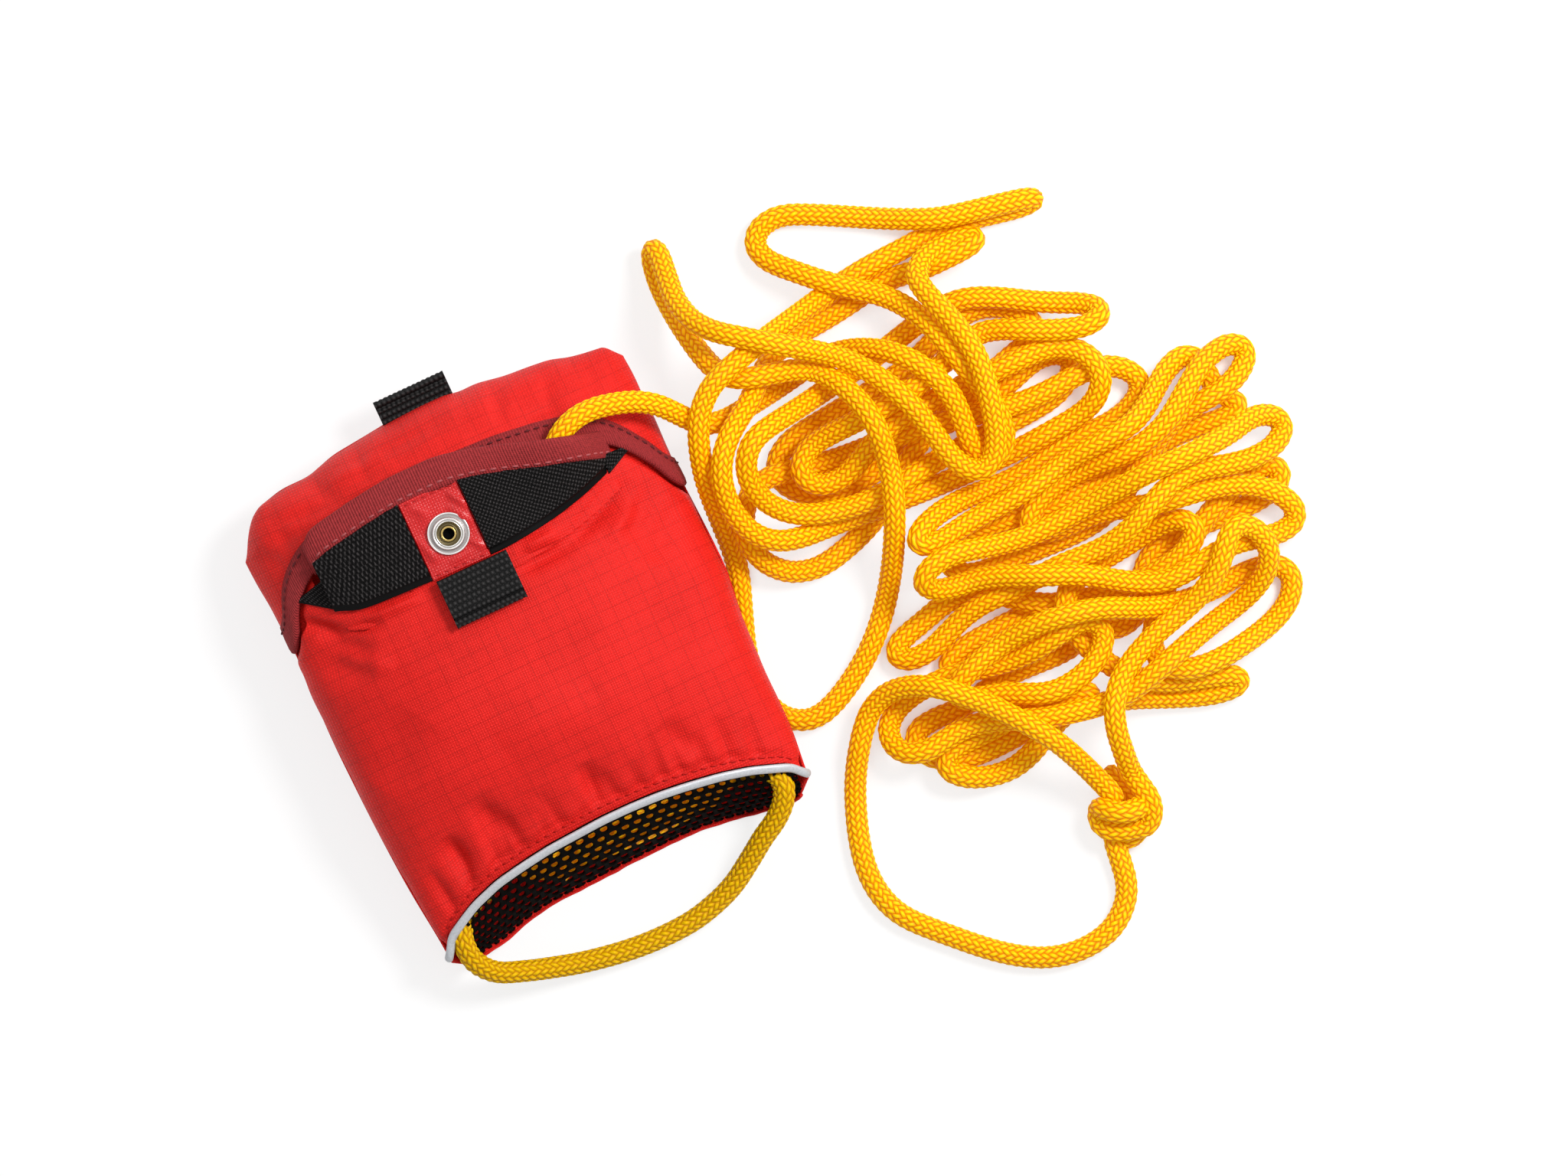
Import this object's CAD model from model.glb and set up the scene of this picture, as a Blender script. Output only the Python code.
import math

import bmesh
import bpy
import numpy as np
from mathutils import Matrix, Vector, noise


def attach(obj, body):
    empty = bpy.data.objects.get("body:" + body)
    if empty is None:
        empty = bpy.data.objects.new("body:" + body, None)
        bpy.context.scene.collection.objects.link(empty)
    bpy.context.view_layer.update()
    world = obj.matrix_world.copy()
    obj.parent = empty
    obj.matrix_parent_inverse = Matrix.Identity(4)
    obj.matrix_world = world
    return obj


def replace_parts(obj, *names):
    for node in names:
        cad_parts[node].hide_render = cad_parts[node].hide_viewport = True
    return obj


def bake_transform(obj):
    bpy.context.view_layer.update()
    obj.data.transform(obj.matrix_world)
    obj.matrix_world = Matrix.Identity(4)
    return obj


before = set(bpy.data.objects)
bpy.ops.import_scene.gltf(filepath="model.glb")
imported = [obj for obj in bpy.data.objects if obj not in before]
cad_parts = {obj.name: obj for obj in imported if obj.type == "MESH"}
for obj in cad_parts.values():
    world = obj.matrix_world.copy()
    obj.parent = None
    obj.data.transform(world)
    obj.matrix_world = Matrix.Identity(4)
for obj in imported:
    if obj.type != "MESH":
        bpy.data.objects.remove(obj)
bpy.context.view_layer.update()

bl_info = {
    "name": "Throw rope bag",
    "version": (1, 0, 0),
    "blender": (4, 5, 0),
    "location": "3D View > Sidebar > Throw bag",
    "description": "A nylon throw bag on its back, its lip turned up and its floating rope spilled beside it",
    "category": "Object",
}

# Settings are in metres. Shapes are worked out in millimetres from the middle of the base line, as in the
# part's source, and MIDDLE is how far along the bag the origin of the part's own frame lies.
METRE = 1000
MIDDLE = 73.5

# The photo: how far the bag is turned in it, the ways to its right and to its top, and its middle in metres
PHOTO_TURN = math.radians(25)
PHOTO_RIGHT = np.array((math.cos(PHOTO_TURN), -math.sin(PHOTO_TURN)))
PHOTO_UP = np.array((math.sin(PHOTO_TURN), math.cos(PHOTO_TURN)))
PHOTO_CENTRE = np.array((0.0854, -0.0107))

# Outline of the bag: shares of its half width and height along it, then its edges from left to right
WIDTH_STEPS = [(0, 0.93), (10, 0.945), (25, 0.97), (50, 0.99), (80, 1), (100, 0.99), (113, 0.98), (130, 1),
               (145, 1.015), (160, 0.995)]
HEIGHT_STEPS = [(0, 0.6), (10, 0.63), (20, 0.7), (30, 0.8), (45, 0.93), (60, 1), (90, 1), (105, 0.96),
                (113, 0.94), (130, 0.92), (150, 0.9)]
TOP_EDGE = [(-69.5, 143), (-67, 148.5), (-64.5, 154.5), (-60, 159), (-50, 161.5), (-40, 161.5), (-30, 164.5),
            (-20, 165.5), (-8, 166.8), (12, 166.5), (15.5, 165.6), (22, 166), (33, 164), (48, 162.5),
            (52, 161), (62, 159.4), (67, 158.6), (69.5, 152)]
FRONT_EDGE = [(-69.4, -1.5), (-67.8, 2.6), (-66, 5.4), (-60.5, 8.3), (-52.7, 12.1), (-42, 15.4), (-31, 17.2),
              (-21, 18.5), (0, 19.7), (10.5, 19.7), (21, 19.2), (31, 18.1), (42, 16.4), (52.5, 14),
              (60, 11.3), (65.7, 9.2), (68, 7), (69.4, 4.4)]
BACK_EDGE = [(-69.4, -1.5), (-66.5, -5), (-62, -5), (-57, -4.2), (-50, -3.4), (-40, -0.5), (-30, 1.2),
             (0, 2.5), (20, 3), (30, 2.8), (40, 1.6), (50, 0), (57, -1.6), (62, -1.8), (66.5, -0.5),
             (69.4, 4.4)]
HOOD_RIM = [(-68.5, 111), (-67, 114.5), (-64, 121), (-60, 126.5), (-54, 131.5), (-48, 134.5), (-40, 137),
            (-30, 138.4), (-15, 139.6), (0, 140), (20, 139), (35, 137), (44, 135), (51, 132), (57, 127),
            (62, 120.5), (66, 113), (68.5, 107)]
# Fold of the lip, its rim and that rim's height, from left to right
LIP_FOLD = [(-50, 117.5), (-45, 114.8), (-40, 113.8), (-30, 113.3), (-17, 112.8), (4, 112.5), (10, 112.5),
            (20, 113.5), (30, 115), (40, 117.5), (50, 121), (54, 123.3)]
LIP_RIM = [(-51, 143), (-45, 145), (-30, 147.5), (-17, 149), (0, 149), (10, 147), (20, 144), (30, 140.5),
           (38, 138), (45, 136), (52, 134)]
LIP_RIM_HEIGHT = [(-50, 45.5), (-25, 49.5), (0, 51.5), (20, 53), (34, 55), (40, 55), (44, 52.5), (48, 47.5),
                  (52, 43.5)]
LIP_ENDS = (-50.8, 52.2)
# Distances over which the corners of these steps are rounded, and the samples that takes
WIDTH_EASE, HEIGHT_EASE, EDGE_EASE, LIP_EASE = 8, 10, 2.5, 3
EASE_SAMPLES = 7

# Height of the side seams, and the length over which the skin rounds off to the top edge
SEAM = 19
TOP_ROUND = 28
# Share of the half width that lies flat on the floor, and the powers that shape the shoulders and the sides
FLAT_SHARE = 0.68
SHOULDER = 0.75
SIDE_RISE = 1.3
# How far the right side stands out at the base and below the hood, and how far the lip's right end dips
BASE_FLARE, HOOD_FLARE, LIP_DIP = 1.6, 1.7, 4.5
# Thickness of the lip, and how far its cloth goes on below the fold
LIP_WALL, LIP_ROOT = 1.0, 7
# Depths of the front panel below the skin: all of it, its ends beneath the hood and its hem in the base seam
FRONT_INSET, TUCK_DEPTH, HEM_DEPTH = 0.3, 2.6, 1.1
# How far the front panel's ends go beneath the hood, and half the width that the lip takes between them
TUCK_LENGTH, LIP_HALF = 5, 49
# Least height of the cloth above the floor
FLOOR_GAP = 0.02
# Left and right edge of the patch, the snap's middle, and the left end of each tab's seam
PATCH = (-17, 3.5)
SNAP_PLACE = (-6, 125)
FRONT_TAB = (-16.3, 112.3)
BACK_TAB = (-10.8, 167.9)

# Route of the rope: each row has its place in the order of laying, then the points it passes in plan.
# A third number is the height the bag or the knot holds it at.
ROPE_ROWS = [
    (0, [(30, 110, 30), (30.5, 118, 32), (32, 126, 37), (34, 132, 43.5), (37, 137, 48.6), (42, 140.6, 50.2),
         (48, 142.3, 50), (53, 142.5, 48.8), (60, 141, 44), (66, 139, 38.8), (70.5, 137, 33),
         (74.5, 133.5, 24.5), (77.5, 129.5, 15.5), (80, 126, 8.5), (83, 122.8, 4.6)]),
    (1, [(87, 120.6), (96, 121), (108, 122.5), (120, 124.5), (131, 126.5), (139.5, 124.5)]),
    (10, [(146.5, 121), (152.5, 116), (157, 110), (160.5, 103), (162.5, 95.5), (162, 87.5)]),
    (10, [(159.5, 79.5), (161, 72.5), (167.5, 70), (172.5, 75), (173.5, 83), (172, 93), (169.5, 103)]),
    (14, [(167.5, 112), (165.5, 120), (162, 127.5), (158, 133.5), (153, 138), (147, 142), (139, 148.5),
          (131.5, 156), (125, 162.5)]),
    (11, [(122, 168.4), (126, 174), (134, 174.8), (143, 170.8), (152, 166.2), (162.5, 160.4), (172.5, 155.3),
          (181.5, 151.2), (191, 149), (203, 146.6), (211.5, 145)]),
    (8, [(216.5, 143.4), (211, 142.6), (202, 144.3), (191, 146.6), (181, 148), (170, 147), (155, 146.5),
         (140, 144.5), (128, 142), (118, 140), (109, 138)]),
    (8, [(100, 135.5), (91, 132.5), (85, 128)]),
    (2, [(81.5, 121.5), (79, 114.5), (76.8, 107), (76.2, 99), (76, 91), (75.6, 83), (74.3, 74), (71, 65),
         (67.3, 55), (64.4, 46), (64, 38), (64.5, 29), (67.5, 22.5), (74.5, 19.2)]),
    (7, [(84, 21.4), (94, 26.7), (103.4, 33.5), (111.2, 41.5), (117.2, 49.4), (122.2, 57.3), (126.9, 66.2),
         (131, 75.5), (133.5, 85), (135, 95), (134.5, 105), (132, 113.5), (127.5, 120.5), (120, 126),
         (112, 128), (104, 129), (97.5, 131.5), (94.5, 136.5), (92.5, 144.5), (91.3, 153), (90.3, 162)]),
    (20, [(90.3, 171), (91, 179.5), (94, 184.6), (95.4, 179.5, 11), (93.6, 171, 11.5), (92, 162.5, 11.5),
          (93.4, 155.5, 9), (99, 148.6), (106.5, 143.5), (113.5, 138), (121.5, 132.5), (129.5, 127),
          (136.5, 120.5), (142.5, 112), (147, 103), (150, 94.5), (151.5, 86), (152.5, 78), (155.5, 71.5),
          (161, 68.5), (166.5, 71.5), (169.5, 78), (171.5, 86), (173.5, 95), (174.5, 104), (173.5, 113),
          (171, 122), (168, 131)]),
    (9, [(165.5, 137.5), (169.5, 141.5), (178, 142.6), (187, 142.3), (195, 140.2), (188, 138.2, 11),
         (178, 138.3, 11)]),
    (3, [(169, 138), (161, 140.2), (152, 139.4), (143, 137.8), (135, 136.8)]),
    (3, [(127, 136), (119, 136), (112, 133), (106, 127.5)]),
    (4, [(99, 121), (91, 116.5), (85, 111), (81.5, 104.5), (80.5, 98), (80.5, 91), (82, 85), (86, 79.5),
         (91, 76), (98, 75), (106, 75), (116, 74), (129, 73), (145, 72), (160, 71.6), (175, 71.5),
         (186, 72.3), (195, 73), (204, 75), (210, 80), (210, 87), (206.5, 94), (199, 97.5), (188, 98)]),
    (4, [(176, 98), (162, 98), (148, 97.5), (138, 96), (131, 93.5), (125, 89.5), (118, 86), (111, 86.5),
         (105.5, 90.5), (105, 96.5), (110, 100.5), (119, 102), (131, 102), (145, 103)]),
    (6, [(160, 106), (171, 110), (180, 112), (187, 109), (195, 104.5), (203, 101), (211, 97.5), (218, 98),
         (219.5, 103.5), (213, 106), (205.5, 109.8), (197.5, 114), (189, 119.5), (181, 123.5), (172, 124.5)]),
    (5, [(160, 122.5), (150, 120), (140, 118), (129, 116.5), (115, 114), (103, 112.6), (94.3, 110),
         (89.6, 104), (89, 98), (90.6, 92), (94, 86.4), (100, 82), (109, 79), (119, 77), (130, 77)]),
    (2, [(142, 79), (158, 80), (172, 80.5), (185, 81.2), (194, 82.5), (201.5, 86), (204, 91), (200.5, 95.5),
         (193, 96.5), (184, 93.5), (175, 91), (164, 89.5), (150, 89), (137, 87), (124, 83.5), (112, 84)]),
    (2, [(103, 88.5), (97, 94.6), (98.6, 102.4), (106.5, 106), (119, 107), (130, 108.5), (144, 109.5),
         (156, 112), (168, 117), (178, 119.5), (187, 117.5), (193.5, 113.5), (197.5, 108), (196, 103),
         (189, 101), (178, 98.5), (166, 93.5), (152, 90.5)]),
    (2, [(140, 84), (131, 76), (120, 69.5), (108, 65.5), (97, 63.5), (88.5, 65.5), (83, 71), (80.5, 79),
         (82, 88), (86, 95.5), (93, 98.5), (104, 96.5), (116, 94), (130, 93), (145, 92)]),
    (3, [(160, 89), (174, 86), (189, 84.5), (202, 85.5), (211, 85), (217.5, 81.5), (221.5, 76), (219, 70.5),
         (212, 68), (203, 66.5), (193, 67), (182, 65.3), (170, 63.4), (158, 64), (149, 64.6)]),
    (10, [(141, 64), (133.5, 62), (128.5, 58), (132, 54.4), (139.5, 55)]),
    (11, [(149, 56.8), (161, 57.5), (174.5, 58.6), (184, 61), (193, 62.3), (206.5, 62.3)]),
    (6, [(215.5, 65), (223, 70.5), (229, 75.5), (235.5, 78.5), (241, 75.5), (241, 69), (239.5, 62.5),
         (243, 58), (247.5, 55), (245, 51.6), (238, 52), (230, 54), (222, 54.2), (213, 52.5), (200, 50.5),
         (186, 50), (172, 50), (160, 52), (148, 53.5), (139, 51.5), (135.5, 46), (140, 41), (150, 40),
         (161, 39.5), (174.5, 38.8), (188, 39), (200, 44), (211, 52), (222, 58)]),
    (8, [(233, 60.5), (242, 60.5), (250, 62.5), (256, 67), (256.5, 72.5), (250.5, 75.5), (242.5, 73),
         (234.5, 68), (227, 62.5), (219, 57.5), (211, 55.5), (202, 55.5), (191, 56.5), (180, 56)]),
    (7, [(170, 52.5), (164, 47.5), (168, 43), (178, 42), (189, 42), (200, 38.5), (211, 35.5), (221, 34.5),
         (231, 32), (240, 28), (246.6, 22), (249.6, 16), (247.4, 10.4), (240, 9.4), (233, 12.5), (226, 14)]),
    (13, [(217, 13.5), (207, 12), (198, 12), (190, 15.5), (183, 20.5), (175, 26), (164, 30.5), (154.5, 35),
          (145.5, 38.5), (136, 39.5), (128, 40.5), (124.5, 45), (129.5, 49.5), (138, 50), (147, 48),
          (156.5, 45.5), (170, 44), (184, 45), (197, 46), (211, 46.8), (220, 46.5)]),
    (9, [(230, 46.5), (240, 47), (249.4, 49.8), (257.4, 46.8), (257.6, 39.8), (250.5, 36)]),
    (12, [(242, 36), (233.6, 37.7), (227, 40.5), (218, 41.4), (211, 39.5), (202, 35), (192.7, 31.4),
          (182, 30.5), (172.5, 31.5)]),
    (9, [(162, 31), (151.5, 30.5), (142, 31), (134, 30)]),
    (5, [(127, 26.5), (120.5, 23), (112, 22.5), (106.5, 26.5), (111, 31), (120.5, 33), (130, 36), (139, 36.5),
         (147, 33), (153, 27), (161, 21.5), (172, 18), (183, 16.5), (195, 16), (206, 16.5), (214, 19),
         (218, 24.5), (213, 29.5), (203, 29.5), (193, 28), (182, 27), (172, 25), (165, 19), (164, 11.5),
         (166.5, 4), (170, -3)]),
    (5, [(176, -11.5), (184, -17), (193, -20.5), (201, -22.8), (207.5, -24.5)]),
    (4, [(210.3, -28.2), (206, -29.8), (199, -28.5), (189, -24.9), (179, -20.5), (170, -16.8), (160, -14.5),
         (150, -12.5), (143, -17), (136, -21), (129, -23.5), (121.5, -22), (113, -18.8), (107, -14.5),
         (108, -9), (114.5, -7), (122.5, -8.5), (131, -8), (140, -6), (150, -7), (160, -8.8)]),
    (0.5, [(164.6, -11.2), (159, -13.2), (150, -12.4), (140, -12.8), (130, -13.6), (120, -13.5), (111, -12),
           (103.5, -7.5), (100.5, -1), (104.5, 4), (113, 3.2), (124, 2.4), (136, 6), (150, 5.6), (164, 5),
           (171.5, 11), (166, 19), (155, 21.8), (141, 21), (129, 20.4), (120.5, 16), (126, 12), (138, 12),
           (152, 13), (168, 9), (180, 3.6), (189, 8), (193, 17), (200, 23), (211, 24.2), (225, 23.4),
           (238, 23), (248, 25.5), (251, 30), (246, 33.5), (236, 31.5), (224, 27.5), (212, 20.5), (200, 12),
           (190, 1), (185, -8)]),
    (6, [(187, -15.5), (195, -17.5), (204, -18.6), (215, -17.2), (225.5, -15), (234.8, -10.4), (239.6, -4.2),
         (237.4, 1.8), (231, 3.5)]),
    (10, [(224, 4), (215, 3), (203, 3.5), (195, 4.5), (187.8, 7.5), (178.7, 12.4), (169.6, 15), (158.7, 17),
          (149.6, 17), (140.5, 16), (131.5, 13.5), (124, 11.5), (119, 7.5), (123, 3.5), (130, 3.5),
          (137, 1.5), (144, -3), (153, -5.8), (161.5, -5), (169.6, -2)]),
    (7, [(174.5, 3.5), (175.5, 9.5), (170, 13), (160, 11), (149, 9.5), (138, 10.5), (128, 13)]),
    (7, [(118, 14), (109, 13.5), (101, 12), (95.5, 7.5), (94.5, 1), (98, -4.5), (105, -6.5), (112, -4.5),
         (119, -2.5), (127, -4), (135, -8), (144, -11.5), (154, -14), (162, -16), (170, -16.5), (178, -15)]),
    (15, [(187, -12.5), (197, -9.5), (208, -6.7), (217, -5), (225, -3), (231.5, 0.5), (235.5, 6), (235.5, 13),
          (231.5, 19), (226.5, 20.5), (222.5, 16), (219.5, 10.5), (214, 6), (206, 2.4), (195, -0.4),
          (186, -3), (178, -6.5), (170.5, -12), (165.5, -18), (163.8, -25), (163.2, -32, 7.5),
          (162.9, -39, 11)]),
]
LOOP_ROWS = [
    (21, [(153.8, -42.7, 12.5), (152.4, -37.5, 12), (149.3, -29.8, 8.5), (145, -20), (138, -10), (130, 0),
          (122, 8), (115, 14), (108, 18), (100, 18.5), (93.5, 15.5), (88.6, 9), (82.8, 1), (78, -8),
          (73.8, -19), (71, -30), (71, -40.2), (74.3, -49.8), (80.4, -57), (88, -64.6), (95.5, -72),
          (103.5, -78.4), (112, -83.3), (122, -85.7), (132, -85), (140.3, -81.2), (145.8, -75.4),
          (147.2, -66.5), (148.4, -58.4, 4.2)]),
]
# The knot, seen from above: right, up and height from its middle. First the rope's turns, then the strand
# below them and the ends of the loop inside it.
KNOT_PLACE = (156.1, -48.9)
KNOT_TURNS = [(5.6, 6.4, 13), (8.2, 2.4, 12.5), (9.1, -2, 10.8), (7.7, -5.8, 9.6), (4, -7.2, 9.4),
              (-1, -7.9, 10), (-5.4, -7.4, 9.6), (-8.1, -4.8, 9), (-8.2, -0.9, 11), (-6.4, -0.8, 14.4),
              (-2.5, -1.9, 16.4), (1.5, -1.7, 16), (4.6, -0.4, 13.5), (6, 0.8, 10)]
KNOT_UNDER = [(-6.5, 12, 4.6), (-3.5, 9, 5), (1, 4, 5), (4.4, -2, 4.8), (4.8, -7, 4.4), (2.5, -10, 4.2),
              (-1, -10.6, 4)]
LOOP_START = [(-3, 1, 10.5)]
LOOP_STOP = [(-3.2, -8, 4.2), (-2.8, -3, 6.5)]
# Route of the handle from its left stopper to its right one: across the bag, along it and up
HANDLE_PATH = [(-48.5, 13.2, 18.6), (-53.4, 11, 20.8), (-57.3, 5.5, 22.2), (-58.5, 0, 21.2),
               (-57.3, -6, 18.4), (-52.5, -11.4, 14.5), (-44, -15, 11.2), (-35, -17.9, 8), (-25, -20.6, 5.7),
               (-12, -22.9, 4.5), (0, -23.8, 4.2), (12, -23.3, 4.4), (22, -21, 5.3), (30, -17.8, 7),
               (38, -12.8, 10), (44.5, -8.4, 13.4), (51, -4.6, 16.8), (55.6, -0.4, 19.5), (58, 4.5, 21.5),
               (57.2, 8.8, 21.6), (53.5, 12, 20.6), (48.5, 13.2, 18.6)]
# Stopper knots of the handle: middle of the right one, and its radius, turns and rise for each radian
STOPPER_PLACE = (45.5, 13.4, 17.3)
STOPPER_RADIUS, STOPPER_TURNS, STOPPER_RISE = 1.3, 1.1, 0.25
# Layers of the rope in the bag: height, first and last place along it, and half the width
PACKED_LAYERS = [(10.6, 10.8, 104, 40), (19.2, 14.8, 105, 51), (27.6, 19.2, 106, 40), (36.2, 46, 98, 36)]
PACKED_PITCH = 9.2

# Folds in plan: start, end, width and depth, with ridges given as less than nothing
FRONT_FOLDS = [
    ((-64, 120), (-50, 109.5), 2.4, 1.6), ((-52, 109.8), (-37, 108.2), 2.0, 1.1),
    ((-44, 111.2), (-22, 110.2), 1.9, -0.9), ((-60, 113), (-44, 100), 3.6, 1.2),
    ((-66, 108), (-46, 94), 5, 1.3), ((-57, 104), (-40, 93), 3, -0.8), ((8, 105), (30, 105.5), 3.2, 1.4),
    ((26, 105), (56, 116), 3.2, 1.6), ((14, 110), (27, 110), 2.6, -1.0), ((62, 112), (46, 98), 4, 1.1),
    ((66, 104), (50, 88), 5, 1.0), ((40, 101), (54, 108), 2.5, -0.8), ((-62, 60), (-40, 75), 9, 0.9),
    ((58, 50), (45, 78), 9, 0.8), ((-20, 55), (15, 60), 10, -0.8), ((-36, 44), (-29, 25), 4, 1.4),
    ((2, 39), (2, 24), 4, 1.0), ((-50, 36), (-46, 20), 4, 1.3), ((31, 40), (36, 25), 4, 1.0)]
HOOD_FOLDS = [
    ((-40, 162), (-36, 147), 3, 0.8), ((-22, 165), (-24, 151), 3, 0.7), ((28, 164), (24, 149), 3, 0.8),
    ((45, 161), (40, 146), 3, 0.7), ((58, 157), (54, 141), 3, 0.7), ((-58, 158), (-55, 141), 3, 0.7),
    ((-66, 146), (-58, 136), 3, 0.9), ((66, 146), (60, 136), 3, 0.9), ((-57, 152), (-38, 150), 2.2, 0.9),
    ((-62, 147), (-45, 145.5), 2.2, 0.8), ((32, 149.5), (47, 147), 2.2, 0.9),
    ((30, 155), (52, 152), 2.6, 0.7), ((-20, 158), (10, 159.5), 2.6, 0.6),
    ((-36, 156), (-14, 157.5), 2.4, -0.6)]
# Wrinkles of the patch, given in the same way, which stand up instead
PATCH_FOLDS = [((-1, 138), (3.5, 130), 1.3, 0.9), ((-3, 134), (3, 124), 1.5, 0.8),
               ((-1, 121), (3.5, 115), 1.4, 0.8), ((-14, 138), (-9, 133), 1.6, 0.6),
               ((-16, 128), (-13, 117), 1.5, 0.7), ((-10, 116), (0, 117), 1.2, 0.5)]
# Puckers along the base seam: place across the bag, lean, length and depth
PUCKERS = [(-55, -4, 14, 1.3), (-47, -2, 18, 1.5), (-38, 3, 20, 1.6), (-33, 1, 12, 1.0), (-27, -2, 13, 1.2),
           (-19, 1, 9, 0.7), (-12, -3, 14, 1.1), (-5, 1, 8, 0.6), (0, 2, 16, 1.3), (8, -2, 12, 1.0),
           (15, 1, 10, 0.9), (22, 3, 16, 1.3), (30, -1, 13, 1.1), (37, 2, 11, 1.0), (45, 3, 15, 1.2),
           (53, 4, 12, 1.0)]
# What the depths on the front panel, on the hood and along the seam are multiplied by
FRONT_FOLD, HOOD_FOLD, PUCKER = 2, 1.3, 1.2
# Ripples beside the hood's rim: their length, their depth and the distance over which they fade
RIPPLE_LENGTH, RIPPLE_DEPTH, RIPPLE_FADE = 9, 0.5, 5
# Ends of the tapes sewn down on the bag: place across it, lower and upper edge, at one end and the other
TAPE_ENDS = [((-60, 125.6, 126.2), (-49.8, 118.2, 128.6)), ((49, 120.6, 127), (59, 125.8, 126.4))]
# Width of a tape's plain edge, the height of its backing, and the short hairs on its pile
SELVAGE, TAPE_BACKING = 2.2, 0.7
FUZZ = {"size": 1.6, "seed": 3.0, "depth": 2}

# Sections of the bindings: share of their width in from the edge, and height above the cloth
HOOD_SECTION = [(1, 0.9), (0.55, 1.2), (0.15, 1.25), (-0.04, 1.0), (-0.1, 0.4), (-0.11, -0.4), (-0.06, -1.3),
                (0.15, -1.7), (0.6, -1.7), (1, -1.5), (1, -0.7)]
LIP_SECTION = [(1, 0.75), (0.8, 1.15), (0.45, 1.35), (0.12, 1.3), (-0.03, 0.9), (-0.08, 0), (-0.04, -0.9),
               (0.12, -1.3), (0.5, -1.3), (1, -1.1), (1, -0.4)]
# Sections of the snap from its middle: distance out, height, and which of its metals shows from there on
SNAP_FLANGE = [(3.9, 0, 0), (6.6, 0, 0), (6.9, 0.15, 1), (7, 0.4, 1), (6.95, 0.65, 1), (6.75, 0.78, 1),
               (6.5, 0.7, 0), (5.65, 0.55, 0), (5.45, 0.65, 1), (5.35, 1.3, 1), (5.2, 1.8, 1), (4.95, 2, 1),
               (4.7, 1.9, 1), (4.55, 1.45, 0), (4.4, 1.4, 1), (4.25, 1.85, 1), (4.05, 1.9, 1), (3.9, 1.5, 1)]
SNAP_EYELET = [(0.05, 0.1, 0), (3.9, 0.1, 1), (3.95, 1.4, 1), (3.7, 1.2, 1), (3.1, 0.9, 1), (2.75, 1.0, 1),
               (2.65, 1.7, 0), (2.5, 2.2, 0), (2.25, 2.4, 0), (2, 2.3, 0), (1.8, 2, 2), (1.7, 1.4, 2),
               (1.65, 0.5, 2), (0.05, 0.45, 2)]
# Radius that these are drawn at, the points round them, and the height of the snap's foot above the lip
SNAP_RADIUS, SNAP_SIDES, SNAP_LIFT = 7, 72, 1.6

# The base mesh: its cells, the share of the turn across the bag that they take, the thickness of the knit,
# the reach of a hole in its cell, and the outline of a cell
MESH_COLUMNS, MESH_ROWS, MESH_TURN, KNIT = 37, 8, 0.8, 0.75
HOLE_WIDE, HOLE_TALL = 0.33, 0.4
CELL_STEPS = np.linspace(-0.5, 0.5, 5)
CELL = np.array([*((x, -0.5) for x in CELL_STEPS), (0.5, 0),
                 *((x, 0.5) for x in CELL_STEPS[::-1]), (-0.5, 0)])
# A cell lower than this is left out, and so is one nearer than this to the middle of the handle's rope
LEAST_CELL, HANDLE_ROOM = 0.6, 3
# The piping: half its width and height, its sides, how far it reaches across and how far below the edge it is
PIPING_WIDE, PIPING_TALL, PIPING_SIDES, PIPING_TURN, PIPING_BELOW = 1.45, 1.35, 14, 0.985, 0.7
# The base seam: how far above the edge it is sewn and how deep, and how far across the back hem reaches
SEWN_ABOVE, SEWN_INSET, HEM_TURN = 3.7, 1.2, 0.78
# Ribs across the webbing and the beads along them
WEBBING_RIB, WEBBING_KNOT = 2.0, 1.7
# How far the front tab is clear of the cloth at its seam, and how much of the back tab is inside the top edge
TAB_CLEAR, TAB_SEWN = 0.9, 2
# The foam float: half its width and length, its middle along the bag, its top, thickness and rounding
FOAM_HALF, FOAM_LONG, FOAM_MIDDLE, FOAM_TOP, FOAM_THICK, FOAM_ROUND = 36, 40, 64, 5.8, 3.0, 4
# Loop tapes inside the hood: distance from its rim, width and depth below the skin
LOOP_TAPE_IN, LOOP_TAPE_WIDE, LOOP_TAPE_INSET = 9.5, 9, 2.4
# A stitch: how far it rises and how deep its ends are sunk, in radii of its thread
STITCH_RISE, STITCH_SUNK = 1.5, 0.9

# Points along a bound edge, then points across the cloth and along its parts
EDGE_POINTS = 241
CLOTH_COLUMNS, FRONT_ROWS, BACK_ROWS, ROUND_ROWS, HOOD_ROWS = 211, 171, 60, 26, 56
# Shares of the way along the back panel before and within its rounding at the top edge
FLAT_PART, ROUND_PART = 0.8, 0.2
# Points across a tab and along one of its faces
TAB_COLUMNS, TAB_ROWS = 100, 60
# Distance between the points of a smooth line, and the parts each of its spans is worked out in
LINE_STEP, SPLINE_PARTS = 1.0, 12


# Tools for shapes


def table(value, steps, ease=0):
    """A value read from a table of steps, its corners rounded over the given distance."""
    spots, heights = np.array(steps, float).T
    shifts = np.linspace(-ease, ease, EASE_SAMPLES)
    return sum(np.interp(np.asarray(value) + shift, spots, heights) for shift in shifts) / EASE_SAMPLES


def place(points):
    """Turns millimetres from the base line into metres in the part's own frame."""
    return (np.asarray(points, float) - (0, MIDDLE, 0)) * 0.001


def unit(vectors):
    return vectors / np.maximum(np.linalg.norm(vectors, axis=-1, keepdims=True), 1e-9)


def between(low, high, share):
    return low + (high - low) * share


def points_of(*parts):
    """Points or pattern places put together from their coordinates."""
    return np.stack(np.broadcast_arrays(*parts), -1)


def widened(value, dimensions):
    """A number or grid with as many dimensions as the larger grid it is spread over."""
    return np.reshape(value, np.shape(value) + (1,) * (dimensions - np.ndim(value)))


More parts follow.
